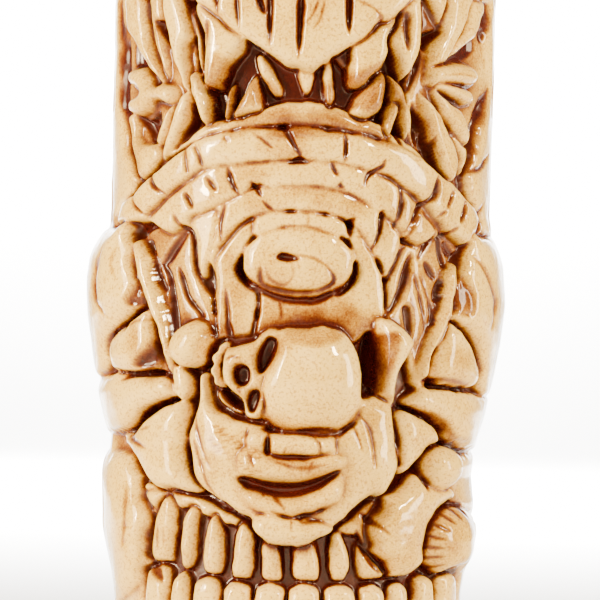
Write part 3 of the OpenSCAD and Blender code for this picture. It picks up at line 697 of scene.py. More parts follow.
def brow_cuts(c):
    """Lines between the courses of the brow, then the joints across each course."""
    groove, pit = c.groove, c.pit
    groove([
        (-35, 93), (-30, 98.3), (-25, 102.8), (-19, 106.3), (-12, 107.8), (-4, 108.4), (4, 108.4),
        (13, 107), (20, 105.2), (26.5, 101), (31, 97.5), (35, 93)], 1, 1, ends=(0.05, 0.05))
    groove([
        (-30.4, 89.6), (-27, 93.6), (-24, 96.2), (-21, 98.6),
        (-19.2, 100.2)], 1.9, 1.5, 1.3, ends=(0.1, 0.2))
    groove([(-19.2, 100.2), (-14, 100.9), (-8, 101.5), (-1, 102)], 0.8, 0.7, 0.5)
    groove([(3, 102), (8, 101.6), (12, 100.8), (16, 99.7)], 0.5, 0.6, 1)
    groove([
        (14.8, 100), (17.6, 98.9), (20.4, 97), (24, 94.2), (27, 90.8),
        (29.9, 86.6)], 1.5, 1.5, 1.8, ends=(0.15, 0.1))
    groove([(-20.4, 90.6), (-18.5, 91.5), (-14.5, 93.5), (-10.5, 95.4), (-7.5, 97)], 0.7, 0.7, 0.5)
    groove([(-5.5, 96.6), (1, 97), (7, 96.3), (11, 95), (15, 92.6), (17, 91.6)], 0.6, 0.6, 0.8)
    groove([(-10.4, 90.2), (-8, 91.1), (-5, 91.7), (1, 91.9), (7, 91.2), (9.8, 90)], 0.6, 0.6)
    groove([
        (-6.8, 91.4), (-9, 90.5), (-12, 88.8), (-14, 86.8), (-15.7, 84.5), (-17.3, 82), (-17.6, 80),
        (-17.3, 77), (-16.9, 70), (-16.6, 66)], 1.9, 1.6, 0.7, ends=(0.12, 0.1))
    groove([
        (12, 88.6), (14, 85.5), (15.5, 83.3), (17, 81), (18.1, 79), (18.7, 76), (18.5, 72),
        (17.5, 68)], 1.2, 1.3, 1)
    pit([(9.6, 89.9), (11.8, 90.8), (10.8, 86.4)], 1.6, 0.6)
    groove([(-9.8, 90.2), (-9.7, 88), (-9, 85.4)], 0.8, 0.9)
    groove([(1.5, 92), (1.8, 90.2), (1.8, 88.4)], 0.6, 0.7)
    groove([(-7.8, 86.9), (-5, 88.1), (-2, 88.7), (1.5, 88.9), (4, 88.1), (7, 87), (9, 85.5)], 0.5, 0.6)
    # joints of the outer course
    c.wide, c.deep = 0.85, 1.1
    pit([(-33.2, 94.9), (-31.9, 92.4), (-28.9, 89.4), (-31.4, 90.6), (-33.2, 92.8)], 1.7, 0.6)
    groove([(-29.6, 98.6), (-28.4, 96), (-26.4, 94.6)], 0.9, 1.2, ends=(0.1, 0.1))
    groove([(-22.9, 103.9), (-22.3, 101.5), (-22, 98.9)], 0.8, 1.1, 0.7, ends=(0.1, 0.1))
    groove([(-20.9, 104.4), (-19.8, 102.5), (-19.2, 100.3)], 0.9, 1.2, ends=(0.1, 0.1))
    groove([(-9.4, 107.2), (-7.4, 105.8), (-5.4, 104.2)], 0.7, 0.9)
    groove([(-3.2, 108.4), (-1.6, 105.6), (0.1, 102.8)], 1.2, 1.3, 0.6, ends=(0.05, 0.05))
    pit([
        (-4.2, 103), (-2.6, 101.6), (0, 103.2), (1.6, 101.8), (4.3, 102.9), (1.6, 101.2),
        (-2.4, 101)], 1.4, 0.5, sharp=True)
    groove([(8.8, 107.4), (8.9, 104.5), (8.8, 101.8)], 1.2, 1.4, 1)
    groove([(12.9, 97), (13.5, 99), (14.6, 100.1), (16, 101), (16.6, 102.6)], 1, 1.2)
    groove([(27.2, 99.4), (26.2, 95.2), (24.2, 93.3), (22.6, 90), (21.2, 87.9)], 1.3, 1.5, 1)
    groove([(30.2, 96.6), (29.6, 95), (28.8, 93)], 0.8, 1)
    groove([(32.6, 94.6), (32.2, 92.4), (31.5, 90)], 0.9, 1.2)
    groove([(27.2, 91), (28.6, 92.5)], 0.6, 0.8)
    groove([(29.4, 87.4), (31.2, 89.3)], 0.7, 0.9)
    pit([(29.6, 86.2), (31, 86.4), (32.6, 83.6), (30.4, 83.2)], 0.8, 0.7)
    groove([(-15.1, 106.5), (-14.1, 105.2)], 0.6, 0.7)
    # middle course
    groove([(-22.9, 94.9), (-22, 93.2), (-21.2, 91.6)], 1.1, 1.3)
    groove([(-18.8, 98.3), (-17.8, 97), (-16.7, 95.4)], 0.8, 1)
    groove([(-14.5, 100.2), (-13.5, 97), (-12.1, 94.6)], 1.1, 1.2)
    groove([(-9.9, 97.5), (-8.8, 96.2), (-7.7, 94.5)], 0.8, 1)
    groove([(6.2, 101.6), (6.8, 100.2), (7.7, 98.8)], 0.9, 1.1)
    pit([(7, 96.7), (8.2, 98.3), (9.6, 95.9)], 1.2, 0.5, sharp=True)
    groove([(20, 97.4), (20.4, 94), (19.9, 91), (19.4, 88.6)], 1.2, 1.4, 0.8)
    # inner course
    groove([(-15, 92.9), (-16.1, 89), (-15.8, 85)], 1.1, 1.3, 0.7)
    groove([(-7.6, 93.8), (-6.4, 92.6), (-5, 91.7)], 0.7, 0.9)
    groove([(16.6, 92.4), (16.9, 90), (16.2, 87), (15, 83.8)], 1.2, 1.4, 0.8)


def eye_cuts(c):
    """The rim, the iris and the creases of the eye."""
    groove, pit = c.groove, c.pit
    c.wide = 1.0
    groove([
        (-11.4, 82.6), (-12.5, 80.2), (-11.6, 78.6), (-10.2, 77.2),
        (-7.2, 75.6)], 1.6, 1.6, 1.9, ends=(0.3, 0.05))
    groove([(11.9, 82), (11.7, 79.4), (9.8, 76.7), (7.4, 75.4)], 1.4, 1.5, 1.7, ends=(0.3, 0.05))
    groove([
        (-7.8, 75.8), (-4, 74.5), (0, 74), (4, 74.3), (7.6, 75.6)], 1.8, 1.8, 1.6, ends=(0.05, 0.05))
    groove([
        (-7.5, 80.4), (-7.6, 78.4), (-7, 76.9), (-4, 75.9), (0, 75.5), (4, 75.9), (6.8, 77.3),
        (7.2, 78.7), (5.4, 81.2)], 1.2, 1.15, 0.8, ends=(0.1, 0.3))
    groove([(5.8, 80.9), (3.2, 82.3), (0.6, 82.9), (-1.6, 82.9)], 0.7, 0.6)
    groove([(-6.6, 80.6), (-5.6, 78.2), (-3, 76.9), (-1, 78.6), (-1.2, 81.2)], 0.5, 0.3)
    pit([(-4.6, 82.3), (-3.4, 83.6), (-0.8, 83.1), (0.6, 82), (-2.3, 81.4)], 1.9, 0.5)
    groove([(-4, 74.2), (-3.4, 72), (-3.3, 70.2)], 0.5, 0.7)
    groove([(-7.8, 75.3), (-8.2, 72), (-8.8, 69), (-9.9, 65.4), (-14.2, 64.9)], 1, 1.1)
    groove([(-15.1, 76.4), (-14.7, 73), (-14.3, 69), (-13.5, 65.8)], 0.6, 0.9, 1.4, ends=(0.4, 0.1))


def lock_cuts(c):
    """Strands in the hair, left then right."""
    groove, pit = c.groove, c.pit
    groove([
        (-34.3, 84.2), (-32.5, 81), (-31.5, 78.5), (-30, 76), (-29, 74), (-28, 71), (-26.7, 67),
        (-25.9, 64.5), (-25.8, 58)], 0.9, 1.3, 1.3)
    groove([(-30.5, 85.4), (-29.3, 79.5), (-27, 75.2)], 1, 1.1)
    groove([(-28.2, 80.9), (-26.7, 78.5), (-26, 75), (-25.3, 71), (-24.2, 66.2)], 1.2, 1.2)
    groove([(-24.7, 80), (-23.5, 76), (-22.3, 73.5), (-19.3, 70.2)], 1.1, 1.2)
    pit([(-28.6, 80), (-26.2, 80.6), (-22.2, 87.4), (-24.2, 87.6), (-27.4, 83.4)], 0.9, 1)
    pit([
        (-34.6, 85.2), (-33.2, 87.6), (-30.8, 89.2), (-28.4, 88.2), (-30.8, 86.8),
        (-32.6, 84.8)], 1.5, 0.9)
    groove([
        (-25, 90.4), (-24, 88.5), (-22.3, 87), (-21.8, 85), (-21.5, 82), (-21, 79), (-20, 77),
        (-18.3, 74.3)], 1, 1.2)
    groove([(-33, 74), (-31, 67), (-29.6, 63)], 0.3, 0.3)
    groove([(22.3, 85.7), (21, 83.5), (19.5, 80), (18.4, 77.6)], 0.7, 1, 1.3)
    groove([(23.3, 83.4), (22.5, 80), (21.8, 77), (20.5, 74), (18.8, 71.4)], 1.8, 1.5, 1.2)
    groove([(24.5, 92.4), (26, 90.6), (27.8, 88.4)], 0.6, 0.7)
    groove([(24.5, 92), (22.8, 89), (21.5, 86)], 0.6, 0.7)
    groove([(28.3, 88.9), (29, 86.5), (29.9, 81.2)], 1, 1.1)
    groove([(27.8, 88.2), (26.2, 85.4), (24.8, 82.6)], 0.7, 0.9)
    groove([
        (36.8, 94), (35.5, 90), (34.5, 86.5), (33, 84), (31.7, 82.3), (31.3, 78),
        (31.3, 74.2)], 0.8, 1.2, 1)
    groove([(26.2, 82.2), (28.2, 78.6)], 1.4, 0.9)
    groove([(29.2, 78.4), (28.4, 74.2)], 1.4, 0.9)
    pit([(21.8, 73.2), (23.6, 73), (24.2, 68.6), (23.5, 66.2), (22.4, 69)], 1.3, 0.6)
    groove([(24, 80), (25.6, 74), (26.6, 68)], 0.5, 0.6)
    groove([(25.6, 79), (27.4, 73), (27.8, 67)], 0.5, 0.5)
    groove([(29.8, 81), (30.4, 76), (29.4, 70)], 0.5, 0.5)
    groove([(23.4, 76), (24.4, 72)], 0.4, 0.4)


def haunches(f):
    """The thighs that stand outside the big jaw."""
    plate = f.plate
    f.ref = 40.0
    plate("haunch_left", 36.6, 35, 1.6, [(-30.4, 27), (-30.2, 20), (-29.9, 8), (-50, 8), (-50, 27)])
    plate("haunch_left", 40.3, 36.4, 6, [
        (-36.4, 43), (-34, 39), (-33.3, 36.5), (-31.5, 32), (-31, 27), (-31.2, 21), (-33, 16.5),
        (-37, 13.6), (-42, 12.4), (-50, 12), (-50, 43)])
    plate("haunch_left", 37.8, 35, 1.2, [
        (-33.2, 36.8), (-30, 35.6), (-26.6, 34.2), (-28, 31), (-29.2, 28.2), (-31.2, 31)])
    plate("haunch_right", 38.6, 34.6, 2.6, [(36, 21), (34.2, 18), (34, 8), (50, 8), (50, 36), (40, 34)])


def arms(f):
    """Shoulders, arms and the left hand."""
    plate = f.plate
    f.ref = 43.0
    plate("shoulder_left", 44.2, 40.4, 5.4, [
        (-36.2, 88.8), (-39, 87.6), (-48, 86), (-52, 76), (-52, 57.6), (-42, 57.8), (-39.8, 59.6),
        (-39.2, 63.5), (-37.8, 66.8), (-34.8, 70.2), (-32.4, 73.2), (-33.6, 79), (-35, 84.6)])
    plate("upper_arm_left", 43, 40.2, 3.8, [
        (-37.2, 67.3), (-34.2, 69.8), (-31.2, 71.6), (-30.6, 68), (-29.6, 64), (-30, 60.2), (-32, 58.9),
        (-35.6, 58.8), (-38.4, 59.6), (-39.2, 62), (-38.8, 65.2)])
    plate("side_lock_left", 40, 37, 1.2, [
        (-29.4, 65.2), (-28.2, 64), (-26.8, 60.5), (-26.3, 57.6), (-27.6, 58.2), (-29.2, 61.2)])
    plate("forearm_left", 41.6, 39.2, 3.8, [
        (-24.8, 55.6), (-26.4, 57.2), (-29.5, 58.4), (-35, 58.5), (-38.5, 58.9), (-42, 57.6),
        (-50, 57.4), (-50, 47.6), (-42, 47), (-38, 47.2), (-35.9, 47.8), (-34.1, 50.3), (-30.6, 52.7),
        (-26.4, 54.2)])
    plate("hand_left", 41.4, 37.4, 4.4, [
        (-35.4, 47.2), (-33.4, 49.9), (-30, 52), (-26, 53.4), (-23.6, 52.8), (-23.4, 46), (-22.8, 40),
        (-20.4, 35.6), (-25, 34.7), (-28, 34.2), (-31, 35.6), (-33.2, 38), (-35, 41.5), (-37.4, 44.6),
        (-38.6, 46.6)])
    plate("shoulder_right", 43.6, 40.2, 5.2, [
        (36.8, 88.2), (38.6, 87.2), (47, 86), (52, 77), (52, 54.5), (41.5, 54.8), (39.2, 57.2),
        (38.8, 61), (36.8, 66.6), (33.8, 70), (31.8, 71.6), (33.2, 76), (34.4, 80.4), (36, 84.8)])
    plate("upper_arm_right", 42.8, 40, 3.8, [
        (31.2, 70.6), (30, 66), (29.2, 60.4), (30.2, 58), (33, 57.2), (37, 56.9), (38.6, 58.4),
        (38.4, 61.4), (36.6, 66), (34, 69.2)])
    plate("forearm_right", 41.4, 39, 3.8, [
        (24.9, 53.7), (26.4, 55.6), (28.4, 56.8), (33.3, 56.8), (37.2, 56.4), (41, 55.4), (50, 55),
        (50, 45.6), (40, 45), (35.8, 45), (33.9, 46.8), (30.8, 49.9), (27, 52.2)])
    plate("forearm_right", 41.2, 37.6, 3.2, [
        (22, 51.2), (24.4, 52.4), (27, 51.4), (30.4, 49.6), (32, 47.6), (32.2, 46.2), (29.6, 44.9),
        (27.6, 42.4), (25.6, 40.2), (23.6, 39.2), (21.6, 43)])


def lock_strips(f):
    """The long strip of hair at each side that hangs over the arms."""
    plate = f.plate
    f.ref = 42.0
    plate("side_lock_left", 42.2, 39.8, 1.3, [
        (-34, 85.2), (-33.2, 79.5), (-31.5, 74), (-30, 70), (-28.2, 65.5), (-27, 61), (-26.2, 57.5),
        (-25.2, 58), (-26, 64), (-27.2, 69), (-28.8, 73.5), (-30.2, 77.5), (-30.8, 81), (-32.2, 84)])
    plate("side_lock_right", 42, 39.8, 1.2, [
        (33.2, 82), (32.5, 77), (31.8, 72), (30, 67), (28.2, 63.5), (27.5, 59), (26.2, 59), (26.8, 64),
        (28.5, 68), (30, 72.5), (30.8, 77), (31.2, 80.5)])


def right_hand(f):
    """The right hand on its thigh, with the stitched ball."""
    plate = f.plate
    f.ref = 41.0
    plate("haunch_right", 37.6, 35.6, 2, [
        (33.6, 45.4), (36.8, 43.6), (50, 44), (50, 32), (37, 31.6), (34.2, 34.6)])
    plate("hand_right", 41.2, 36.6, 4.2, [
        (15.2, 32.4), (19, 34.8), (22, 36.4), (26.2, 40), (27.8, 38.6), (30.4, 37.4), (33.9, 37.2),
        (34.8, 35), (32.8, 33.9), (31, 32.6), (29.5, 30.6), (28.5, 28.2), (28.1, 25), (28.2, 21.5),
        (25, 18.9), (21, 18.9), (17.5, 21.2), (15.6, 25), (14.4, 28.5)])
    f.boss("hand_right", (30.6, 41), (3.6, 4.6), 43.2, 38.6, rot=-12, power=2.1, over=False)
    f.boss("stitched_ball", (34.6, 26.4), (6.6, 7.2), 42.2, 36.4, over=False)


def big_jaw(f):
    """The big jaw at the foot: its lower teeth, its lips and its upper teeth."""
    plate = f.plate
    f.ref = 37.5
    for a, b, top in ((-29.9, -25.2, 20.9), (-24.8, -21, 19.2), (-20.3, -14.7, 18.4),
                      (-14.2, -8.3, 17.5), (-7.8, -1.4, 17.2), (-0.8, 6, 17.2), (6.6, 13.5, 17.2),
                      (14, 19.3, 17.5), (19.8, 24.2, 18), (24.8, 29.2, 19.7), (29.8, 34.2, 20.4)):
        plate("tooth_row_lower", 37.9, 34.4, 1.7, [
            (a, 7), (a, top - 2.4), (a + 0.5, top - 0.9), ((a + b) / 2, top), (b - 0.5, top - 0.9),
            (b, top - 2.4), (b, 7)])
    plate("jaw_lip", 37.4, 35, 1.8, [
        (-30.6, 35), (-26, 35.2), (-22, 34.8), (-18, 33.4), (-14, 31.6), (-10, 29.8), (-7.6, 28.2),
        (-11, 28), (-18, 30.2), (-22, 31.8), (-28, 31.2)])
    plate("jaw_lip", 36.6, 35, 1.8, [
        (9, 28.4), (12, 30.6), (15, 33.4), (17.4, 34.4), (15, 29), (15.6, 24.6), (13.6, 26.6),
        (10.6, 27.4)])
    for tooth in (
            [(-29.1, 26.5), (-28, 31.6), (-26.3, 34.4), (-24.6, 33.2), (-24, 30.8), (-25, 21.6),
             (-26.4, 20.9), (-28.9, 21.6)],
            [(-23.4, 25.4), (-22.8, 30.4), (-21.2, 32.2), (-19.5, 31.4), (-19.8, 26), (-20.6, 20.4),
             (-22.8, 20)],
            [(-18.7, 22.6), (-18.2, 27.2), (-17.2, 30.2), (-15.8, 30.7), (-14, 26), (-14.6, 19.4),
             (-16.4, 18.7), (-18.3, 19.2)],
            [(-12.6, 21.6), (-12.2, 26.6), (-11, 29), (-9.4, 29), (-7.7, 26.8), (-8.4, 18.4),
             (-10.4, 17.9), (-12.5, 18.4)],
            [(-6.6, 20), (-6.4, 25.4), (-4.6, 26.6), (-2.5, 25.6), (-2.1, 18.2), (-4.4, 17.6),
             (-6.4, 18.1)],
            [(0, 20), (0.2, 25.4), (2.6, 26.6), (5, 25.6), (5.8, 18.3), (3, 17.7), (0.4, 18.2)],
            [(7.5, 23.6), (7.8, 27.4), (9.9, 27.4), (12.3, 22.2), (11.4, 18.2), (9.8, 17.8),
             (8.2, 18.2)],
            [(13.4, 25.8), (15.2, 24), (19.4, 19.4), (17.4, 18.3), (14.5, 18.6), (13.2, 21.4)]):
        plate("tooth_row_upper", 37.4, 34.4, 1.5, tooth)


def nose_bone(f):
    """The two knobs of the bone through the nose, and the end of a lock."""
    plate = f.plate
    f.ref = 42.0
    plate("side_lock_left", 40.2, 38.4, 1.2, [
        (-26.4, 60), (-24.4, 60.6), (-22.8, 58.6), (-22.6, 55), (-24, 53.4), (-26, 55)])
    plate("nose_bone_left", 44.2, 40.2, 4.2, [
        (-26, 64.5), (-25.2, 67), (-23, 68.9), (-20.6, 69.3), (-18.4, 67.8), (-17.4, 64.8),
        (-18.4, 61.8), (-20.6, 60.2), (-23.4, 59.8), (-25.4, 61.6)])
    plate("nose_bone_right", 44.4, 39.6, 3.2, [
        (17.4, 70.4), (20.8, 69.8), (24.1, 66.4), (23.4, 63.4), (21.4, 60.2), (20.8, 56), (21, 52.4),
        (17, 52.6), (16.6, 57), (16.7, 63.5), (16.7, 67.5)], ball=(20.8, 65.4, 6.4, 14, 3.6))


def muzzle(f):
    """Cheeks, chin, teeth and lips."""
    plate = f.plate
    f.ref = 43.0
    plate("cheeks", 41.2, 38.6, 3, [
        (-21.2, 53.2), (-23.2, 47), (-22.4, 40), (-20, 35.4), (-15, 32.7), (-12, 30.7), (-9.5, 29.8),
        (-7.5, 27), (0, 25.6), (7, 27), (8.3, 28.3), (11, 29.7), (13, 31.6), (15, 33.3), (17, 34.8),
        (19.5, 34.9), (22.2, 38.6), (22.6, 44), (21.7, 50), (21, 53.4), (17.5, 55), (14, 57), (-8, 57),
        (-12, 53.5), (-17, 55.6), (-18.6, 58.6), (-21.4, 58.8)], crown=3)
    plate("chin", 45.2, 42.6, 2.6, [
        (-8.7, 29.3), (-3.8, 31.7), (-1, 30.7), (2, 30.2), (5, 29.8), (8.7, 28.4), (7.2, 26.8), (3, 25),
        (0, 24.5), (-4, 24.8), (-7.6, 26.8)])
    for a, b, lo, hi in ((-9.2, -5.8, 43.6, 47.4), (-4.6, 4.6, 42.9, 47.4), (5.2, 8.0, 43.6, 47.8)):
        plate("upper_teeth", 45.6, 43.6, 1.4, [
            (a, lo + 0.3), (a, hi), (b, hi), (b, lo + 0.2), ((a + b) / 2, lo)])
    plate("upper_lip", 45.9, 43.4, 2.6, [
        (-11, 41.2), (-10.6, 43.4), (-9, 44.4), (-5.6, 43.4), (-2, 42.6), (3, 42.6), (8, 43.2),
        (10.2, 42.2), (9.6, 40.9), (6, 39.2), (1.8, 37.9), (-4, 37.9), (-8.6, 38.4), (-10.6, 39.2)])
    plate("lower_lip", 45.9, 43.2, 2.6, [
        (-10.6, 35.6), (-7.6, 35.8), (-4.6, 35), (0, 34.4), (5, 36), (9.4, 38.8), (9.6, 35),
        (8.4, 33.3), (4, 31.6), (-1.7, 30.5), (-4.8, 31.1), (-8.8, 32.7)])


def skull(f):
    """The hollow for the nose and the small skull that fills it."""
    plate = f.plate
    plate("wall", 37.6, 37.6, 0.5, [
        (-19.6, 60.5), (-17.6, 65.4), (-14, 66.2), (-8, 66.8), (-4, 66), (-4, 50), (-8, 50),
        (-13, 50.5), (-17.6, 53), (-19, 56)])
    plate("wall", 37.2, 37.2, 0.6, [
        (12.8, 64.5), (14.5, 66.4), (16.6, 67.6), (17.1, 63), (16.9, 57.5), (16, 55.4), (13.8, 55.6)])
    f.ref = 44.0
    for x, y, r in ((-15.9, 63.9, 1.1), (-17.2, 62.0, 1.15), (-17.4, 59.4, 1.2), (-16.8, 57.1, 1.1)):
        f.boss("nose_skull_jaw", (x, y), (r * 1.15, r * 1.2), 42.9, 40.6)
    plate("nose_skull_jaw", 41, 39.6, 0.6, [
        (-17.8, 56), (-16.6, 55.4), (-14.2, 53), (-11.6, 51.8), (-11.8, 50.9), (-14.8, 51.8),
        (-17.6, 54.2)])
    plate("nose_skull_face", 43.9, 38.6, 2.6, [
        (-15.4, 64), (-13.3, 64.5), (-9.4, 65.6), (-7.8, 67.2), (-5.6, 68.2), (-3.4, 67.4), (-3, 60),
        (-4, 50), (-8.6, 49.6), (-11, 50.4), (-11.6, 53.2), (-13.4, 54.6), (-15.6, 57), (-16.2, 60.4)])
    f.ref = 46.0
    plate("nose_skull", 46.6, 42, 2.2, [
        (-3.6, 68), (1.8, 68.3), (6, 68.7), (9.2, 68.2), (12.2, 66.2), (14.2, 62.4), (15, 57),
        (14.4, 51.8), (12, 48.4), (8.2, 46.9), (0.5, 47.4), (-5.6, 47.6), (-7.2, 49.4), (-6.6, 52),
        (-7.4, 54.6), (-7.2, 57.6), (-5.8, 60.4), (-4.2, 64.4)], ball=(3.4, 58, 13.4, 12.6, 7))


def lower_cuts(f):
    """Cuts in the arms, the muzzle, the small skull and the big jaw."""
    c = Cuts(f)
    arm_cuts(f, c)
    muzzle_cuts(f, c)
    skull_cuts(f, c)
    c.done()


def arm_cuts(f, c):
    """Folds of the arms, and the fingers and stitches of the right hand."""
    groove, pit = c.groove, c.pit
    f.ref = 43.0
    groove([(-38.6, 84.5), (-39.6, 79), (-39.4, 73.5), (-37.6, 69.4)], 0.7, 0.7)
    groove([(-36.6, 84), (-37, 80.5), (-36, 77.5)], 0.5, 0.3)
    groove([(-31, 69.4), (-33.4, 69), (-36.2, 67)], 0.6, 0.6)
    groove([(-39.4, 62), (-38.6, 65.4), (-36.4, 68.2), (-33.4, 70.6)], 0.8, 0.9)
    pit([(-30.4, 67), (-31.2, 64), (-33.6, 60.4), (-31.6, 59.4), (-29.6, 60.5), (-29.4, 64)], 2.2, 1.2)
    pit([(-33.2, 78.6), (-32.6, 75), (-32, 72.6), (-34.4, 71.8), (-35, 73.4), (-34, 76.4)], 1.6, 0.9)
    groove([(-36.6, 57.2), (-35, 58.2), (-29.5, 58.8), (-26, 56.6)], 1, 1)
    groove([
        (-25.1, 53.6), (-28, 53), (-31, 52), (-33, 50.3), (-34.6, 48.7), (-35.6, 46.8)], 1.3, 1.3, 1.1)
    groove([(-36.2, 46.2), (-34, 45.2), (-31, 43.6)], 0.9, 0.8)
    groove([(-33, 47.3), (-30.3, 48)], 0.5, 0.4)
    groove([(-37.3, 37), (-36.6, 30), (-36.8, 24)], 0.5, 0.3)
    pit([(-33.5, 21), (-30.5, 19.7), (-30, 16.3), (-33.2, 19)], 1.4, 0.7)
    groove([(36, 84), (38, 79), (39.2, 74), (38.8, 69)], 0.7, 0.6)
    pit([(32.4, 72.4), (34.2, 80.2), (36.3, 76), (36, 71.2), (34, 70.8)], 1, 1.2)
    groove([(31.4, 70.4), (34.4, 69.4), (36.8, 66.2), (38.5, 61.2), (38.8, 58)], 0.9, 1)
    groove([(28, 58.4), (30.5, 58.7), (36, 57.6)], 0.9, 0.9)
    groove([(24.4, 53.2), (27, 52.1), (30, 51.1), (32, 49.8), (33.5, 48.1), (35.4, 46.2)], 1.3, 1.3, 1)
    groove([(27, 42.2), (27.6, 40), (28.8, 37.4), (28.6, 36.2)], 1.2, 1.2)
    f.ref = 41.0
    groove([(15.2, 31.4), (17.4, 29.6), (19.5, 27.4)], 1.2, 1, 0.5)
    groove([(14.4, 28.2), (16, 23.5), (17.5, 21.3), (19.5, 19.5)], 1, 1)
    groove([
        (36.6, 33.6), (33.4, 33.5), (30.4, 31.3), (28.7, 28.2), (28.2, 25.4), (28.5, 22.4),
        (30, 19.8)], 1, 1.4)
    # stitches: root, tip
    for stitch in (
            ((35.4, 33.2), (35.6, 31)), ((33.4, 32.8), (34, 30.6)), ((31.4, 31.6), (32.6, 29.7)),
            ((29.7, 29.6), (31.4, 28.3)), ((28.8, 27.3), (30.8, 26.6)), ((28.6, 25), (30.6, 24.9)),
            ((29, 22.8), (30.9, 23.2)), ((30, 20.6), (31.6, 21.6))):
        groove(stitch, 0.9, 0.9, 0.3, ends=(0, 0.4))


def muzzle_cuts(f, c):
    """Creases of the muzzle, gaps of its teeth and fine scratches on its cheek."""
    groove, pit = c.groove, c.pit
    f.ref = 43.0
    groove([(-23.3, 48), (-22.4, 42), (-22.2, 39), (-20, 35.4), (-17, 33.6)], 1.4, 1.6, 0.9)
    groove([(-21.3, 51.2), (-19.4, 45.5), (-17, 40)], 0.6, 0.6)
    groove([(-20.9, 45.7), (-19, 40.5), (-17.3, 35.5), (-15, 32.8)], 0.7, 0.8)
    groove([(13, 51.3), (14.5, 49.5), (15.6, 47), (16.6, 40.6)], 0.7, 0.8)
    groove([(11.7, 49.2), (13.6, 44.2)], 0.6, 0.7)
    groove([(8.7, 46.6), (10.4, 48.4), (12.6, 49.7)], 0.8, 1)
    groove([(21.3, 53.4), (21.5, 50), (21.8, 45), (21.6, 42)], 1.3, 1.5)
    pit([(22.3, 44), (23.8, 41.2), (22.4, 40.6)], 1.4, 0.7)
    groove([(-9.6, 48.2), (-9.4, 44.3)], 0.6, 0.7)
    groove([(-5.2, 47.4), (-5.2, 42.8)], 1.2, 1.4)
    groove([(-2, 43.2), (-1.6, 44.8)], 0.4, 0.3)
    groove([(3.4, 47), (4.9, 45.2), (4.9, 43.4)], 0.6, 0.7)
    groove([(8.2, 47.6), (8.2, 43.8)], 0.6, 0.6)
    groove([(-7, 48), (-5.4, 47.8), (-3, 47.9)], 0.9, 1.1)
    groove([(0.4, 47.9), (2.4, 47.9), (5, 48.2), (8, 48.2)], 0.8, 0.9)
    groove([(-4.4, 42.9), (-2, 42.4), (2, 42.5), (7, 43.2)], 0.8, 0.7)
    groove([(-8.7, 43.2), (-7.6, 40.6)], 0.8, 0.9)
    groove([(-3.6, 41.6), (1, 40.4), (6, 41.2)], 0.7, 0.5)
    groove([(3.6, 42), (2.8, 39.6)], 0.6, 0.6)
    pit([
        (-12, 38.2), (-9.8, 38.9), (-5, 37.9), (0, 37.8), (4.4, 38.7), (8.9, 40.5), (9.6, 39.6),
        (6, 36.4), (1.4, 34.6), (-3.4, 34.2), (-7, 35), (-10.2, 36)], 2.2, 1.3)
    groove([(-2.6, 36.2), (0.6, 35.9), (4.6, 37.2), (8.8, 39.6)], 1.5, 1.3, 0.8, ends=(0.5, 0.1))
    groove([(-8, 35.8), (-7.2, 36.8)], 0.5, 0.4)
    groove([(-6.9, 36.2), (-5.6, 34.6)], 0.6, 0.7)
    groove([(-4.9, 36.2), (-3.2, 34), (-1.4, 32.1)], 0.7, 0.8)
    groove([(-0.8, 30.3), (3, 31.2), (6, 32.4), (9, 33.8)], 0.9, 1, 0.7)
    groove([(-4.4, 31.9), (-1, 30.5), (1, 30.3), (2, 29.5), (5, 29.8), (8.8, 28.5)], 0.7, 0.8)
    groove([(-0.4, 30.2), (-0.3, 27.7)], 0.5, 0.5)
    groove([(-8.6, 29.2), (-7.6, 27.2), (-4, 25)], 0.5, 0.3)
    for i in range(26):
        a = -17.6 + (i % 13) * 0.75 + (i // 13) * 0.3
        b = 45.5 - (i % 13) * 0.5 + (i // 13) * 3.2 - (i % 3) * 0.6
        groove([(a, b), (a + 2.1, b + 0.35)], 0.22, 0.16)


def skull_cuts(f, c):
    """The small skull's eyes, nose and jaw, and cracks in the big teeth."""
    groove, pit = c.groove, c.pit
    f.ref = 44.0
    pit([
        (-18.4, 56), (-17.2, 56.8), (-14.4, 55.2), (-11.6, 54), (-11.1, 51.6), (-13, 51.2),
        (-16, 52.8)], 2.2, 0.7)
    pit([
        (14.9, 63.4), (15.6, 66.4), (17.2, 68), (17.6, 65.5), (17, 61), (16.6, 56.8), (15.6, 55.4),
        (15.2, 57.6)], 2.4, 0.9)
    pit([
        (-13.4, 58.8), (-12.8, 60.5), (-11.3, 61.1), (-9.8, 60.4), (-9.3, 58.6), (-9.8, 56.9),
        (-11.4, 56.2), (-12.9, 57)], 3.6, 0.6)
    groove([(-14.6, 61.6), (-13.2, 62.4), (-11.2, 62.2)], 0.5, 0.5)
    groove([(-12, 56.4), (-11.4, 55)], 0.6, 0.8)
    f.ref = 45.0
    pit([
        (-4.3, 66.3), (-4.1, 64.4), (-5.3, 61.3), (-7.4, 58.7), (-8.6, 60), (-8.8, 62.2), (-7.9, 64.9),
        (-6.2, 66.8)], 3.8, 0.7)
    pit([
        (-9.9, 55.6), (-7.9, 56.1), (-7.5, 54.2), (-7.9, 52.4), (-8.8, 51), (-10.2, 51.2),
        (-10.8, 53.3)], 3.6, 0.6)
    groove([(-6.8, 55.4), (-6.6, 52.4), (-7.6, 49.6)], 0.6, 0.8)
    # teeth
    f.ref = 37.5
    for x in (-27.2, -26.0):
        groove([(x, 28), (x, 24)], 0.3, 0.2)
    groove([(24.9, 19.4), (24.9, 14)], 1, 1.6)


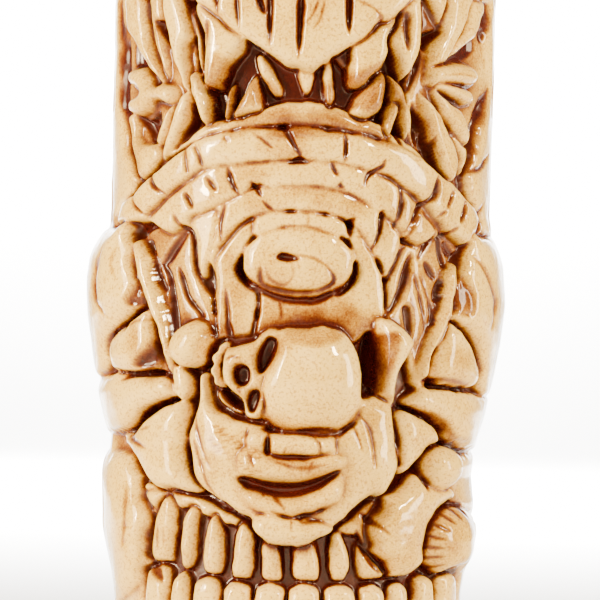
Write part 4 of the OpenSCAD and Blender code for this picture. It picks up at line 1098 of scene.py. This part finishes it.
def stains_and_shade(f):
    """Where the brown wash was left standing on the open surfaces, and painted shade on the lower part
    of the small skull.
    """
    stain_and_shade = f.stain_and_shade
    f.turn = 0.0
    f.ref = 40.0
    # the beast's mouth and the ledge under it
    stain_and_shade([
        (-20, 106), (-19, 124), (-10, 121), (0, 117), (10, 121), (21, 124), (22, 106), (8, 112),
        (-8, 112)], 0.60, 2.5)
    stain_and_shade([
        (-17, 103.5), (-14, 110.5), (-6, 113.5), (4, 114), (12, 112), (18, 109), (19, 103.5),
        (6, 106.6), (-6, 106.8)], 0.42, 2.2)
    stain_and_shade([(-8, 105), (-5, 113), (6, 113.6), (12, 110), (9, 105.4)], 0.55, 3)
    stain_and_shade([
        (-19, 112), (-8, 114.6), (2, 115.6), (13, 114.4), (19, 111), (12, 111.6), (0, 113.2),
        (-10, 112.4)], 0.7, 1.2)
    stain_and_shade([(-3.4, 69), (3, 69.6), (10.5, 69), (9, 65.4), (3, 63.6), (-2.6, 65)], 0.50, 2)
    # painted shade: the lower part of the small skull made darker, as the light falls from above on its
    # right
    stain_and_shade([(-7, 49), (0, 46.8), (9, 46.4), (14.6, 51), (13, 54.6), (5, 51), (-4, 52.6)], 0.24, 2.2)
    stain_and_shade([(-11.5, 45), (2, 44.6), (9, 44), (9.6, 40), (2, 38), (-6, 38), (-11, 39.6)], 0.26, 2)
    stain_and_shade([(14.5, 32), (22, 37), (30, 37), (28.6, 28), (27, 19), (18, 20), (15, 27)], 0.20, 3.5)
    stain_and_shade([(13.6, 66), (17.6, 69), (19.8, 67.6), (18.6, 60), (17.4, 55), (14.6, 55)], 0.75, 1.6)
    stain_and_shade([(-19, 69), (-15, 67.6), (-16.4, 64), (-19.6, 60.8), (-20.4, 64), (-19.4, 67)], 0.45, 2)
    # leaves at both sides
    stain_and_shade([(-37, 134), (-28, 136), (-25, 120), (-27, 101), (-34, 94), (-38, 108)], 0.20, 3.5)
    stain_and_shade([(-33, 130), (-27, 132), (-27.6, 117), (-33, 120)], 0.30, 2.5)
    stain_and_shade([(37, 136), (24, 136), (24, 116), (25, 100), (34, 93), (39, 106)], 0.16, 3.5)
    stain_and_shade([(23, 132), (29, 130), (27, 122), (24, 116)], 0.30, 2.5)
    stain_and_shade([(22, 112), (28, 112), (31, 98), (25, 100)], 0.26, 2.5)
    stain_and_shade([(-22, 134), (-13, 132), (-12, 124), (-17, 114), (-22, 117)], 0.12, 3)
    stain_and_shade([(10, 130), (22, 134), (24, 120), (17, 112), (10, 114)], 0.14, 3)
    stain_and_shade([(-22, 140), (22, 140), (14, 128), (0, 119), (-14, 128)], 0.06, 4)
    # courses of the brow
    stain_and_shade([(-9, 108.6), (6, 108.6), (7, 103), (-3, 100.6), (-10, 103)], 0.16, 2.5)
    stain_and_shade([(-24, 98), (-14, 101), (-5, 101), (-6, 96), (-14, 93), (-22, 91)], 0.20, 3)
    stain_and_shade([(-12, 96), (8, 97.5), (16, 93), (12, 89), (0, 91.6), (-10, 90)], 0.20, 2.5)
    stain_and_shade([(15, 100), (26, 93), (28, 86), (20, 86), (14, 94)], 0.16, 3)
    stain_and_shade([(28, 99), (36, 92), (35, 84), (29, 86), (25, 95)], 0.14, 3)
    stain_and_shade([(-36, 93), (-28, 97), (-27, 90), (-34, 86)], 0.10, 3)
    # round the eye
    stain_and_shade([(-19, 88), (-13, 88), (-11, 80), (-9, 66), (-17, 64.6), (-19, 76)], 0.18, 3)
    stain_and_shade([(-9, 75), (0, 73.5), (10, 75.5), (17, 70), (14, 64.8), (-9, 64.6)], 0.22, 3.5)
    stain_and_shade([(-11, 87), (0, 89), (11, 87), (13, 80), (8, 75), (-8, 75), (-12, 80)], 0.10, 3)
    stain_and_shade([(-6, 81), (4, 82.6), (7, 79), (2, 76), (-5, 77)], 0.16, 3)
    # locks
    stain_and_shade([(-34, 88), (-22, 88), (-17, 76), (-18, 64), (-27, 58), (-33, 74)], 0.14, 3)
    stain_and_shade([(-30, 82), (-22, 80), (-19, 70), (-25, 66)], 0.14, 3)
    stain_and_shade([(20, 90), (34, 84), (33, 74), (27, 57), (21, 66), (18, 78)], 0.20, 3.5)
    stain_and_shade([(24, 80), (31, 80), (30, 66), (25, 64)], 0.14, 3)
    # arms
    stain_and_shade([(-33, 70), (-28, 68), (-26, 55), (-31, 56)], 0.30, 3)
    stain_and_shade([(-37, 44), (-30, 51), (-24, 52), (-23, 40), (-28, 35)], 0.10, 4)
    stain_and_shade([(27, 66), (35, 66), (38, 58), (30, 57), (25, 55)], 0.26, 3.5)
    stain_and_shade([(22, 52), (30, 50), (34, 46), (27, 41), (22, 43)], 0.18, 3)
    stain_and_shade([(28, 46), (36, 44), (37, 38), (28, 38)], 0.16, 3)
    stain_and_shade([(15, 34), (24, 37), (30, 34), (28, 23), (21, 19), (15, 26)], 0.14, 4)
    stain_and_shade([(28, 33), (37, 34), (40, 26), (34, 18), (28, 22)], 0.20, 3.5)
    stain_and_shade([(-34, 38), (-28, 34), (-29, 24), (-34, 16)], 0.16, 3)
    # skull
    f.ref = 44.0
    stain_and_shade([(-7, 68.5), (5, 69), (8, 66), (0, 63), (-6, 58)], 0.30, 3)
    stain_and_shade([(-6, 66), (10, 68), (14, 58), (6, 49), (-6, 52)], 0.06, 4)
    stain_and_shade([(-16, 65), (-6, 66), (-6, 51), (-14, 53)], 0.22, 3)
    # muzzle
    f.ref = 43.0
    stain_and_shade([(-22, 52), (-12, 53), (-12, 40), (-16, 33), (-22, 38)], 0.12, 4)
    stain_and_shade([(10, 56), (21, 54), (22, 40), (15, 33), (12, 42)], 0.16, 4)
    stain_and_shade([(-12, 50), (11, 50), (13, 38), (10, 29), (-10, 29), (-14, 38)], 0.14, 3)
    stain_and_shade([(-9, 38.5), (9, 40), (8, 34), (0, 31), (-9, 33)], 0.14, 2.5)
    stain_and_shade([(-9, 31), (9, 30), (6, 24.5), (-6, 24.5)], 0.12, 3)
    # big jaw
    f.ref = 37.5
    stain_and_shade([
        (-31, 36), (-20, 35), (-7, 28), (8, 28), (16, 34), (19, 22), (30, 22), (30, 17),
        (-31, 17)], 0.14, 3)


def flanks(f):
    """Shallow carving on the two flanks, out of sight from the front."""
    f.ref = 40.0
    c = Cuts(f)
    for s in (-1, 1):
        for k in range(6):
            f.turn = s * (95 if k % 2 else 91)
            z = 88.5 + 11.6 * k
            c.groove([
                (-6.2, z + 1), (-5.4, z + 7), (-2.6, z + 12),
                (0, z + 15)], 1.3, 1, 0.8, ends=(0.05, 0.05))
            c.groove([
                (6.2, z + 1), (5.4, z + 7), (2.6, z + 12), (0, z + 15)], 1.3, 1, 0.8, ends=(0.05, 0.05))
            c.groove([(0, z + 2), (s * 0.4, z + 10)], 0.8, 0.7, 0.4)
        f.turn = s * 94
        c.groove([(-9, 84.5), (-3, 81), (0, 75), (-1.5, 68), (-5, 62)], 1, 0.9)
        c.groove([(s * 4, 84), (s * 7, 78), (s * 7.4, 71), (s * 5, 64)], 1.1, 0.9)
        c.groove([(-8, 66.5), (-2, 64.6), (5, 64.8), (9, 66.6)], 1.2, 1)
        c.groove([(s * 1, 56.4), (s * 3.4, 53.4), (s * 2.6, 49.6)], 0.8, 0.8)
        c.groove([(-9, 52.6), (-3, 51.4), (4, 51.6), (9, 52.8)], 0.8, 0.7)
        c.groove([(-7, 40.5), (-2, 36), (0, 29), (-2, 22), (-6, 16.5)], 1.1, 0.9)
        c.groove([(5, 41), (8, 35), (8.4, 27), (6, 19)], 1, 0.8)
    c.done()
    f.turn = 0.0


def plinth(f):
    rows = f.z < FOOT_TOP
    f.H[rows] = 36.8 - 0.5 * np.clip((5.2 - f.z[rows, None]) / 2, 0, 1)
    f.L[rows] = f.name("plinth")


def hold_outline(f):
    """Bring both flanks to the outline in the photo, with only shallow gaps between the arms.

    Returns how far each point of the grid belongs to a flank, 0 to 1.
    """
    left = np.interp(f.z, *zip(*LEFT_OUTLINE))
    right = np.interp(f.z, *zip(*RIGHT_OUTLINE))
    t = (f.th + np.pi) % (2 * np.pi) - np.pi
    side = np.clip((np.abs(t) - 1.05) / 0.35, 0, 1) * np.clip((2.0 - np.abs(t)) / 0.25, 0, 1)
    top = np.where(t[None, :] < 0, left[:, None], right[:, None])
    side = side[None, :] * ((f.z > FOOT_TOP) & (f.z < FLANK_TOP))[:, None]
    f.H += (np.clip(f.H, top - FLANK_GAP, top) - f.H) * side
    return side


def wear(f):
    """Round off what stands out, and make the surface a little uneven, as cast clay is."""
    f.H -= 0.45 * np.maximum(f.H - blur(f.H, 4), 0)
    f.H += 0.07 * cloud(f, 5.0, 3) + 0.04 * cloud(f, 2.2, 4) + 0.02 * cloud(f, 0.9, 5)
    f.H = blur(f.H, 1)


def settle_wash(f, side):
    """How brown each point is: most in hollows, in cuts, round them and on the deep ground, with painted
    shade on the lower part of the small skull.
    """
    def points(mm):
        return max(1, int(round(mm / f.step)))

    w = np.zeros(f.H.shape)
    for reach, gain in ((0.5, 0.46), (1.2, 0.28), (2.8, 0.15), (6.0, 0.11)):
        w += gain * (blur(f.H, points(reach)) - f.H)
    hollow = 0.11 * np.exp(np.minimum(w, 0) / 0.40) + 0.88 * np.maximum(w, 0)
    pool = np.clip((POOL_LEVEL - f.H) / 0.7, 0, 1) * (1 - side)
    total = (hollow + 0.40 * pool + 0.58 * f.ink + 0.24 * blur(f.ink, points(1.0))
             + 0.26 * blur(f.ink, points(3.0)) + 0.62 * f.tone)
    f.wash = np.clip(total * (1 + 0.28 * cloud(f, 3.6, 7)), 0, 1)


# ---------- from the carving to closed pieces ----------

def clean_labels(f):
    """Part number of each grid square, with ragged edges and specks smoothed away."""
    best = np.full(f.L.shape, -1.0)
    out = f.L.copy()
    for k in np.unique(f.L):
        share = blur((f.L == k).astype(float), 2)
        out = np.where(share > best, k, out)
        best = np.maximum(best, share)
    q = out[:-1]
    # squares of one part that only touch at a corner get a square beside them as well
    for _ in range(30):
        found = False
        for rising in (True, False):
            a, b, c, d = q[:-1], np.roll(q, -1, 1)[:-1], q[1:], np.roll(q, -1, 1)[1:]
            if rising:
                bad = (a == d) & (a != b) & (a != c)
            else:
                bad = (b == c) & (b != a) & (b != d)
            row, col = np.nonzero(bad)
            beside = (col + 1) % q.shape[1]
            if rising:
                q[row, beside] = q[row, col]
            else:
                q[row, col] = q[row, beside]
            found = found or bad.any()
        if not found:
            break
    return q


def new_mesh(name, verts, faces, smooth, normals=None):
    """A mesh of four-sided faces, from points in mm."""
    me = bpy.data.meshes.new(name)
    me.vertices.add(len(verts))
    me.vertices.foreach_set("co", (verts * 0.001).astype(np.float32).ravel())
    me.loops.add(faces.size)
    me.loops.foreach_set("vertex_index", faces.astype(np.int32).ravel())
    me.polygons.add(len(faces))
    me.polygons.foreach_set("loop_start", np.arange(0, faces.size, 4, dtype=np.int32))
    me.polygons.foreach_set("use_smooth", smooth)
    if normals is not None:
        at = me.attributes.new("custom_normal", "FLOAT_VECTOR", "CORNER")
        at.data.foreach_set("vector", normals.astype(np.float32).ravel())
    me.update(calc_edges=True)
    ob = bpy.data.objects.new(name, me)
    bpy.context.scene.collection.objects.link(ob)
    return ob


def flat_normals(v, faces):
    """Each face's own normal, once for each of its corners."""
    n = np.cross(v[faces[:, 2]] - v[faces[:, 0]], v[faces[:, 3]] - v[faces[:, 1]])
    n /= np.maximum(np.linalg.norm(n, axis=1, keepdims=True), 1e-9)
    return np.repeat(n[:, None, :], 4, 1)


def carved_piece(f, labels, k, name, points, normals):
    """One closed piece: its carved front, its back on the cup's wall, and the sides between them."""
    n = len(f.th)
    m = labels == k
    i, j = np.nonzero(m)
    if len(i) == 0:
        return None
    jn = (j + 1) % n
    front = np.stack([i * n + j, i * n + jn, (i + 1) * n + jn, (i + 1) * n + j], 1)
    below = np.ones_like(m)
    below[1:] = ~m[:-1]
    above = np.ones_like(m)
    above[:-1] = ~m[1:]
    left = ~np.roll(m, 1, 1)
    right = ~np.roll(m, -1, 1)
    edges = []
    for side, a, b in ((below, 0, 1), (right, 1, 2), (above, 2, 3), (left, 3, 0)):
        edges.append(front[side[i, j]][:, [a, b]])
    used, inverse = np.unique(front.ravel(), return_inverse=True)
    front = inverse.reshape(-1, 4)
    edges = np.searchsorted(used, np.vstack(edges))
    nv = len(used)
    rows, cols = used // n, used % n
    th = f.th[cols]
    inner = np.stack([WALL * np.sin(th), -WALL * np.cos(th), f.z[rows]], 1)
    v = np.vstack([points[rows, cols], inner])
    back = front[:, ::-1] + nv
    wall = np.stack([edges[:, 1], edges[:, 0], edges[:, 0] + nv, edges[:, 1] + nv], 1)
    faces = np.vstack([front, back, wall])
    smooth = np.arange(len(faces)) < len(front)
    corner_normals = flat_normals(v, faces)
    corner_normals[:len(front)] = normals[rows, cols][front]
    ob = new_mesh(name, v, faces, smooth, corner_normals)
    wash = np.concatenate([f.wash[rows, cols], np.full(nv, HIDDEN_WASH)])
    at = ob.data.attributes.new("wash", "FLOAT", "POINT")
    at.data.foreach_set("value", wash.astype(np.float32))
    return ob


def revolve(name, profile, seg):
    """A closed ring or cup from a closed outline of (radius, height) points."""
    p = np.array(profile, float)
    a = np.arange(seg) / seg * 2 * np.pi
    v = np.stack([np.outer(np.sin(a), p[:, 0]), -np.outer(np.cos(a), p[:, 0]),
                  np.broadcast_to(p[:, 1], (seg, len(p)))], -1).reshape(-1, 3)
    m = len(p)
    i, j = np.meshgrid(np.arange(seg), np.arange(m), indexing="ij")
    i, j = i.ravel(), j.ravel()
    i1, j1 = (i + 1) % seg, (j + 1) % m
    faces = np.stack([i * m + j, i1 * m + j, i1 * m + j1, i * m + j1], 1)
    return new_mesh(name, v, faces, np.ones(len(faces), bool))


def surface(f):
    """The carved surface's points and normals, for each point of the grid."""
    points = np.stack([f.H * np.sin(f.th), -f.H * np.cos(f.th),
                       np.broadcast_to(f.z[:, None], f.H.shape)], -1)
    up = np.gradient(points, axis=0)
    along_ring = np.roll(points, -1, 1) - np.roll(points, 1, 1)
    normals = np.cross(along_ring, up)
    normals /= np.linalg.norm(normals, axis=-1, keepdims=True)
    return points, normals


# ---------- materials ----------

# colours by the amount of wash and painted shade, from none to full
CREAM = [(0.0, (0.86, 0.545, 0.115)), (0.12, (0.81, 0.490, 0.085)), (0.24, (0.65, 0.355, 0.038)),
         (0.37, (0.42, 0.190, 0.012)), (0.50, (0.25, 0.084, 0.004)), (0.63, (0.14, 0.032, 0.002)),
         (0.80, (0.075, 0.010, 0.001)), (1.0, (0.042, 0.003, 0.001))]
INSIDE = [(0.0, (0.86, 0.53, 0.11)), (0.5, (0.76, 0.44, 0.07)), (1.0, (0.50, 0.23, 0.02))]
SPECKS = (0.60, 0.42, 0.24, 1)
WARM_SHINE = (1.0, 0.80, 0.55, 1)


def node(nt, kind, **sockets):
    """A node with the named inputs set to numbers or linked to other nodes' outputs."""
    n = nt.nodes.new(kind)
    for key, value in sockets.items():
        plug(nt, n.inputs[key.replace("_", " ")], value)
    return n


def plug(nt, socket, value):
    """Set an input to a number or colour, or link it to another node's output."""
    if isinstance(value, bpy.types.NodeSocket):
        nt.links.new(value, socket)
    else:
        socket.default_value = value


def calc(nt, operation, *values):
    """The result of a maths node."""
    n = nt.nodes.new("ShaderNodeMath")
    n.operation = operation
    for socket, value in zip(n.inputs, values):
        plug(nt, socket, value)
    return n.outputs[0]


def noise(nt, coords, scale, detail, roughness):
    """A random pattern of 0 to 1, with scale lumps to a metre."""
    n = node(nt, "ShaderNodeTexNoise", Vector=coords, Scale=scale, Detail=detail, Roughness=roughness)
    return n.outputs["Fac"]


def remap(nt, value, lo, hi, to_lo, to_hi):
    """value, carried from lo...hi to to_lo...to_hi."""
    n = node(nt, "ShaderNodeMapRange", Value=value, From_Min=lo, From_Max=hi, To_Min=to_lo, To_Max=to_hi)
    return n.outputs[0]


def glaze(name, stops, even_wash=None):
    """Glossy glaze: cream where it is rubbed thin, brown where the wash stands in the carving and darker
    where shade is painted on the small skull.

    even_wash is for a piece that holds the same wash all over.
    """
    mat = bpy.data.materials.new(name)
    mat.use_nodes = True
    nt = mat.node_tree
    nt.nodes.clear()
    coords = nt.nodes.new("ShaderNodeTexCoord").outputs["Object"]

    wash = even_wash
    if wash is None:
        own = nt.nodes.new("ShaderNodeAttribute")
        own.attribute_name = "wash"
        wash = own.outputs["Fac"]
    wash = calc(nt, "MULTIPLY_ADD", noise(nt, coords, 110.0, 5.0, 0.62), 0.42, wash)
    wash = calc(nt, "MULTIPLY_ADD", noise(nt, coords, 2400.0, 3.0, 0.7), 0.48, wash)
    wash = calc(nt, "SUBTRACT", wash, 0.44)

    ramp = nt.nodes.new("ShaderNodeValToRGB")
    plug(nt, ramp.inputs[0], wash)
    ramp.color_ramp.interpolation = "LINEAR"
    elements = ramp.color_ramp.elements
    elements.remove(elements[-1])
    elements[0].position = stops[0][0]
    elements[0].color = stops[0][1] + (1,)
    for place, colour in stops[1:]:
        elements.new(place).color = colour + (1,)

    mix = nt.nodes.new("ShaderNodeMix")
    mix.data_type = "RGBA"
    mix.blend_type = "MULTIPLY"
    speck = noise(nt, coords, 1700.0, 2.0, 0.6)
    plug(nt, mix.inputs[0], remap(nt, speck, 0.52, 0.66, 0.0, 0.8))
    plug(nt, mix.inputs[6], ramp.outputs[0])
    plug(nt, mix.inputs[7], SPECKS)

    ripple = noise(nt, coords, 420.0, 3.0, 0.55)
    bump = node(nt, "ShaderNodeBump", Strength=0.25, Distance=0.00006, Height=ripple)
    bsdf = node(nt, "ShaderNodeBsdfPrincipled", Base_Color=mix.outputs[2], IOR=1.52,
                Roughness=remap(nt, wash, 0.3, 0.9, 0.07, 0.17), Specular_Tint=WARM_SHINE,
                Specular_IOR_Level=remap(nt, wash, 0.25, 0.75, 0.6, 0.40), Normal=bump.outputs[0])
    node(nt, "ShaderNodeOutputMaterial", Surface=bsdf.outputs[0])
    return mat


# ---------- building ----------

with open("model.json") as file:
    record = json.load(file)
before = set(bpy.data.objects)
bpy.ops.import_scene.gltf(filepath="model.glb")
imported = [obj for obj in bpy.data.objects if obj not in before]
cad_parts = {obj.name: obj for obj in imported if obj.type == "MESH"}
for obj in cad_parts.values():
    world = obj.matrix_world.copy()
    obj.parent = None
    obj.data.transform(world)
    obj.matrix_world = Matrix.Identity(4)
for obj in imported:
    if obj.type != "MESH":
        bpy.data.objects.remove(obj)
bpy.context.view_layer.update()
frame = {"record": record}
record_nodes = [s["node"] for s in frame["record"]["subparts"]]

carving = carve(STEP)
labels = clean_labels(carving)
points, normals = surface(carving)
cream = glaze("cream_glaze_brown_wash", CREAM)

done = set()
for k, part in enumerate(carving.names):
    label = "cup_ground" if part == "wall" else "carved_" + part
    ob = carved_piece(carving, labels, k, label, points, normals)
    if ob is None:
        continue
    ob.data.materials.append(cream)
    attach(ob, "root")
    target = "vessel" if part == "wall" else part
    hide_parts(target)
    done.add(target)

cup = revolve("cup", CUP, CUP_SEGMENTS)
cup.data.materials.append(glaze("inside_glaze", INSIDE, even_wash=0.1))
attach(cup, "root")
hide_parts("vessel")
print("not replaced:", [n for n in record_nodes if n not in done])


# ---------- stage, light and camera, in metres ----------

ROOM = 3.0               # half the floor's width, and the wall's height
BEND_START = 1.2         # where the floor starts to sweep up
BEND = 0.8               # radius of the sweep
FLOOR_COLOUR = (0.92, 0.915, 0.90, 1)
WORLD_COLOUR = (1, 0.90, 0.74, 1)
WORLD_STRENGTH = 0.5
WARM = (1, 0.92, 0.80)
WHITE = (1, 1, 1)
CUP_MIDDLE = (0, 0, 0.08)
LENS = 258.0
SENSOR = 36.0
CAMERA_RIGHT = 0.0005    # how far the camera stands to the right of the cup's axis
CAMERA_ROLL = 1.17       # degrees that the photo leans


def softbox(name, place, target, width, height, power, colour=WARM, spread=180):
    """A rectangular light; spread is the angle of its beam in degrees."""
    light = bpy.data.lights.new(name, "AREA")
    light.shape = "RECTANGLE"
    light.size, light.size_y = width, height
    light.energy = power
    light.color = colour
    light.spread = math.radians(spread)
    ob = bpy.data.objects.new(name, light)
    ob.location = place
    ob.rotation_euler = (Vector(target) - ob.location).to_track_quat("-Z", "Y").to_euler()
    bpy.context.scene.collection.objects.link(ob)


def backdrop():
    """Pale floor that sweeps up into a wall behind."""
    profile = [(-ROOM, 0.0), (BEND_START, 0.0)]
    for degrees in range(6, 91, 6):
        a = math.radians(degrees)
        profile.append((BEND_START + BEND * math.sin(a), BEND - BEND * math.cos(a)))
    profile.append((BEND_START + BEND, ROOM))
    verts, faces = [], []
    for y, z in profile:
        verts += [(-ROOM, y, z), (ROOM, y, z)]
    for i in range(len(profile) - 1):
        faces.append((2 * i, 2 * i + 1, 2 * i + 3, 2 * i + 2))
    me = bpy.data.meshes.new("floor")
    me.from_pydata(verts, [], faces)
    me.update()
    for p in me.polygons:
        p.use_smooth = True
    mat = bpy.data.materials.new("pale_floor")
    mat.use_nodes = True
    bsdf = mat.node_tree.nodes["Principled BSDF"]
    bsdf.inputs["Base Color"].default_value = FLOOR_COLOUR
    bsdf.inputs["Roughness"].default_value = 0.9
    me.materials.append(mat)
    ob = bpy.data.objects.new("floor", me)
    bpy.context.scene.collection.objects.link(ob)
    return ob


def photo_camera():
    """The photo's view: level, straight on, from the middle of what it shows."""
    cam = bpy.data.cameras.new("camera")
    cam.lens = LENS
    cam.sensor_width = SENSOR
    cam.clip_start, cam.clip_end = 0.01, 20
    roll = math.radians(CAMERA_ROLL)
    right = Vector((math.cos(roll), 0, math.sin(roll)))
    up = Vector((-math.sin(roll), 0, math.cos(roll)))
    forward = Vector((0, 1, 0))
    m = Matrix.Identity(4)
    for r in range(3):
        m[r][0], m[r][1], m[r][2] = right[r], up[r], -forward[r]
    m.translation = Vector((CAMERA_RIGHT, -EYE / 1000, MID / 1000))
    ob = bpy.data.objects.new("camera", cam)
    ob.matrix_world = m
    bpy.context.scene.collection.objects.link(ob)
    bpy.context.scene.camera = ob


floor = backdrop()
world = bpy.data.worlds.new("studio")
bpy.context.scene.world = world
world.use_nodes = True
background = world.node_tree.nodes["Background"]
background.inputs[0].default_value = WORLD_COLOUR
background.inputs[1].default_value = WORLD_STRENGTH
softbox("key_left", (-0.80, -0.44, 0.26), CUP_MIDDLE, 0.30, 0.70, 18.5)
softbox("strip_left", (-0.66, -0.46, 0.24), CUP_MIDDLE, 0.05, 0.26, 9.0)
softbox("key_right", (0.60, -0.55, 0.56), CUP_MIDDLE, 0.12, 0.12, 10.0)
softbox("side_right", (0.86, -0.34, 0.24), CUP_MIDDLE, 0.20, 0.60, 12.0)
softbox("front", (-0.15, -1.30, 0.70), CUP_MIDDLE, 0.9, 0.5, 4.0)
softbox("floor_wash", (0, 0.60, 1.0), (0, 0.75, 0), 0.5, 0.6, 45.0, WHITE, spread=60)
softbox("wall_wash", (0, 1.1, 1.2), (0, 2.0, 0.30), 0.6, 0.5, 90.0, WHITE, spread=80)
photo_camera()
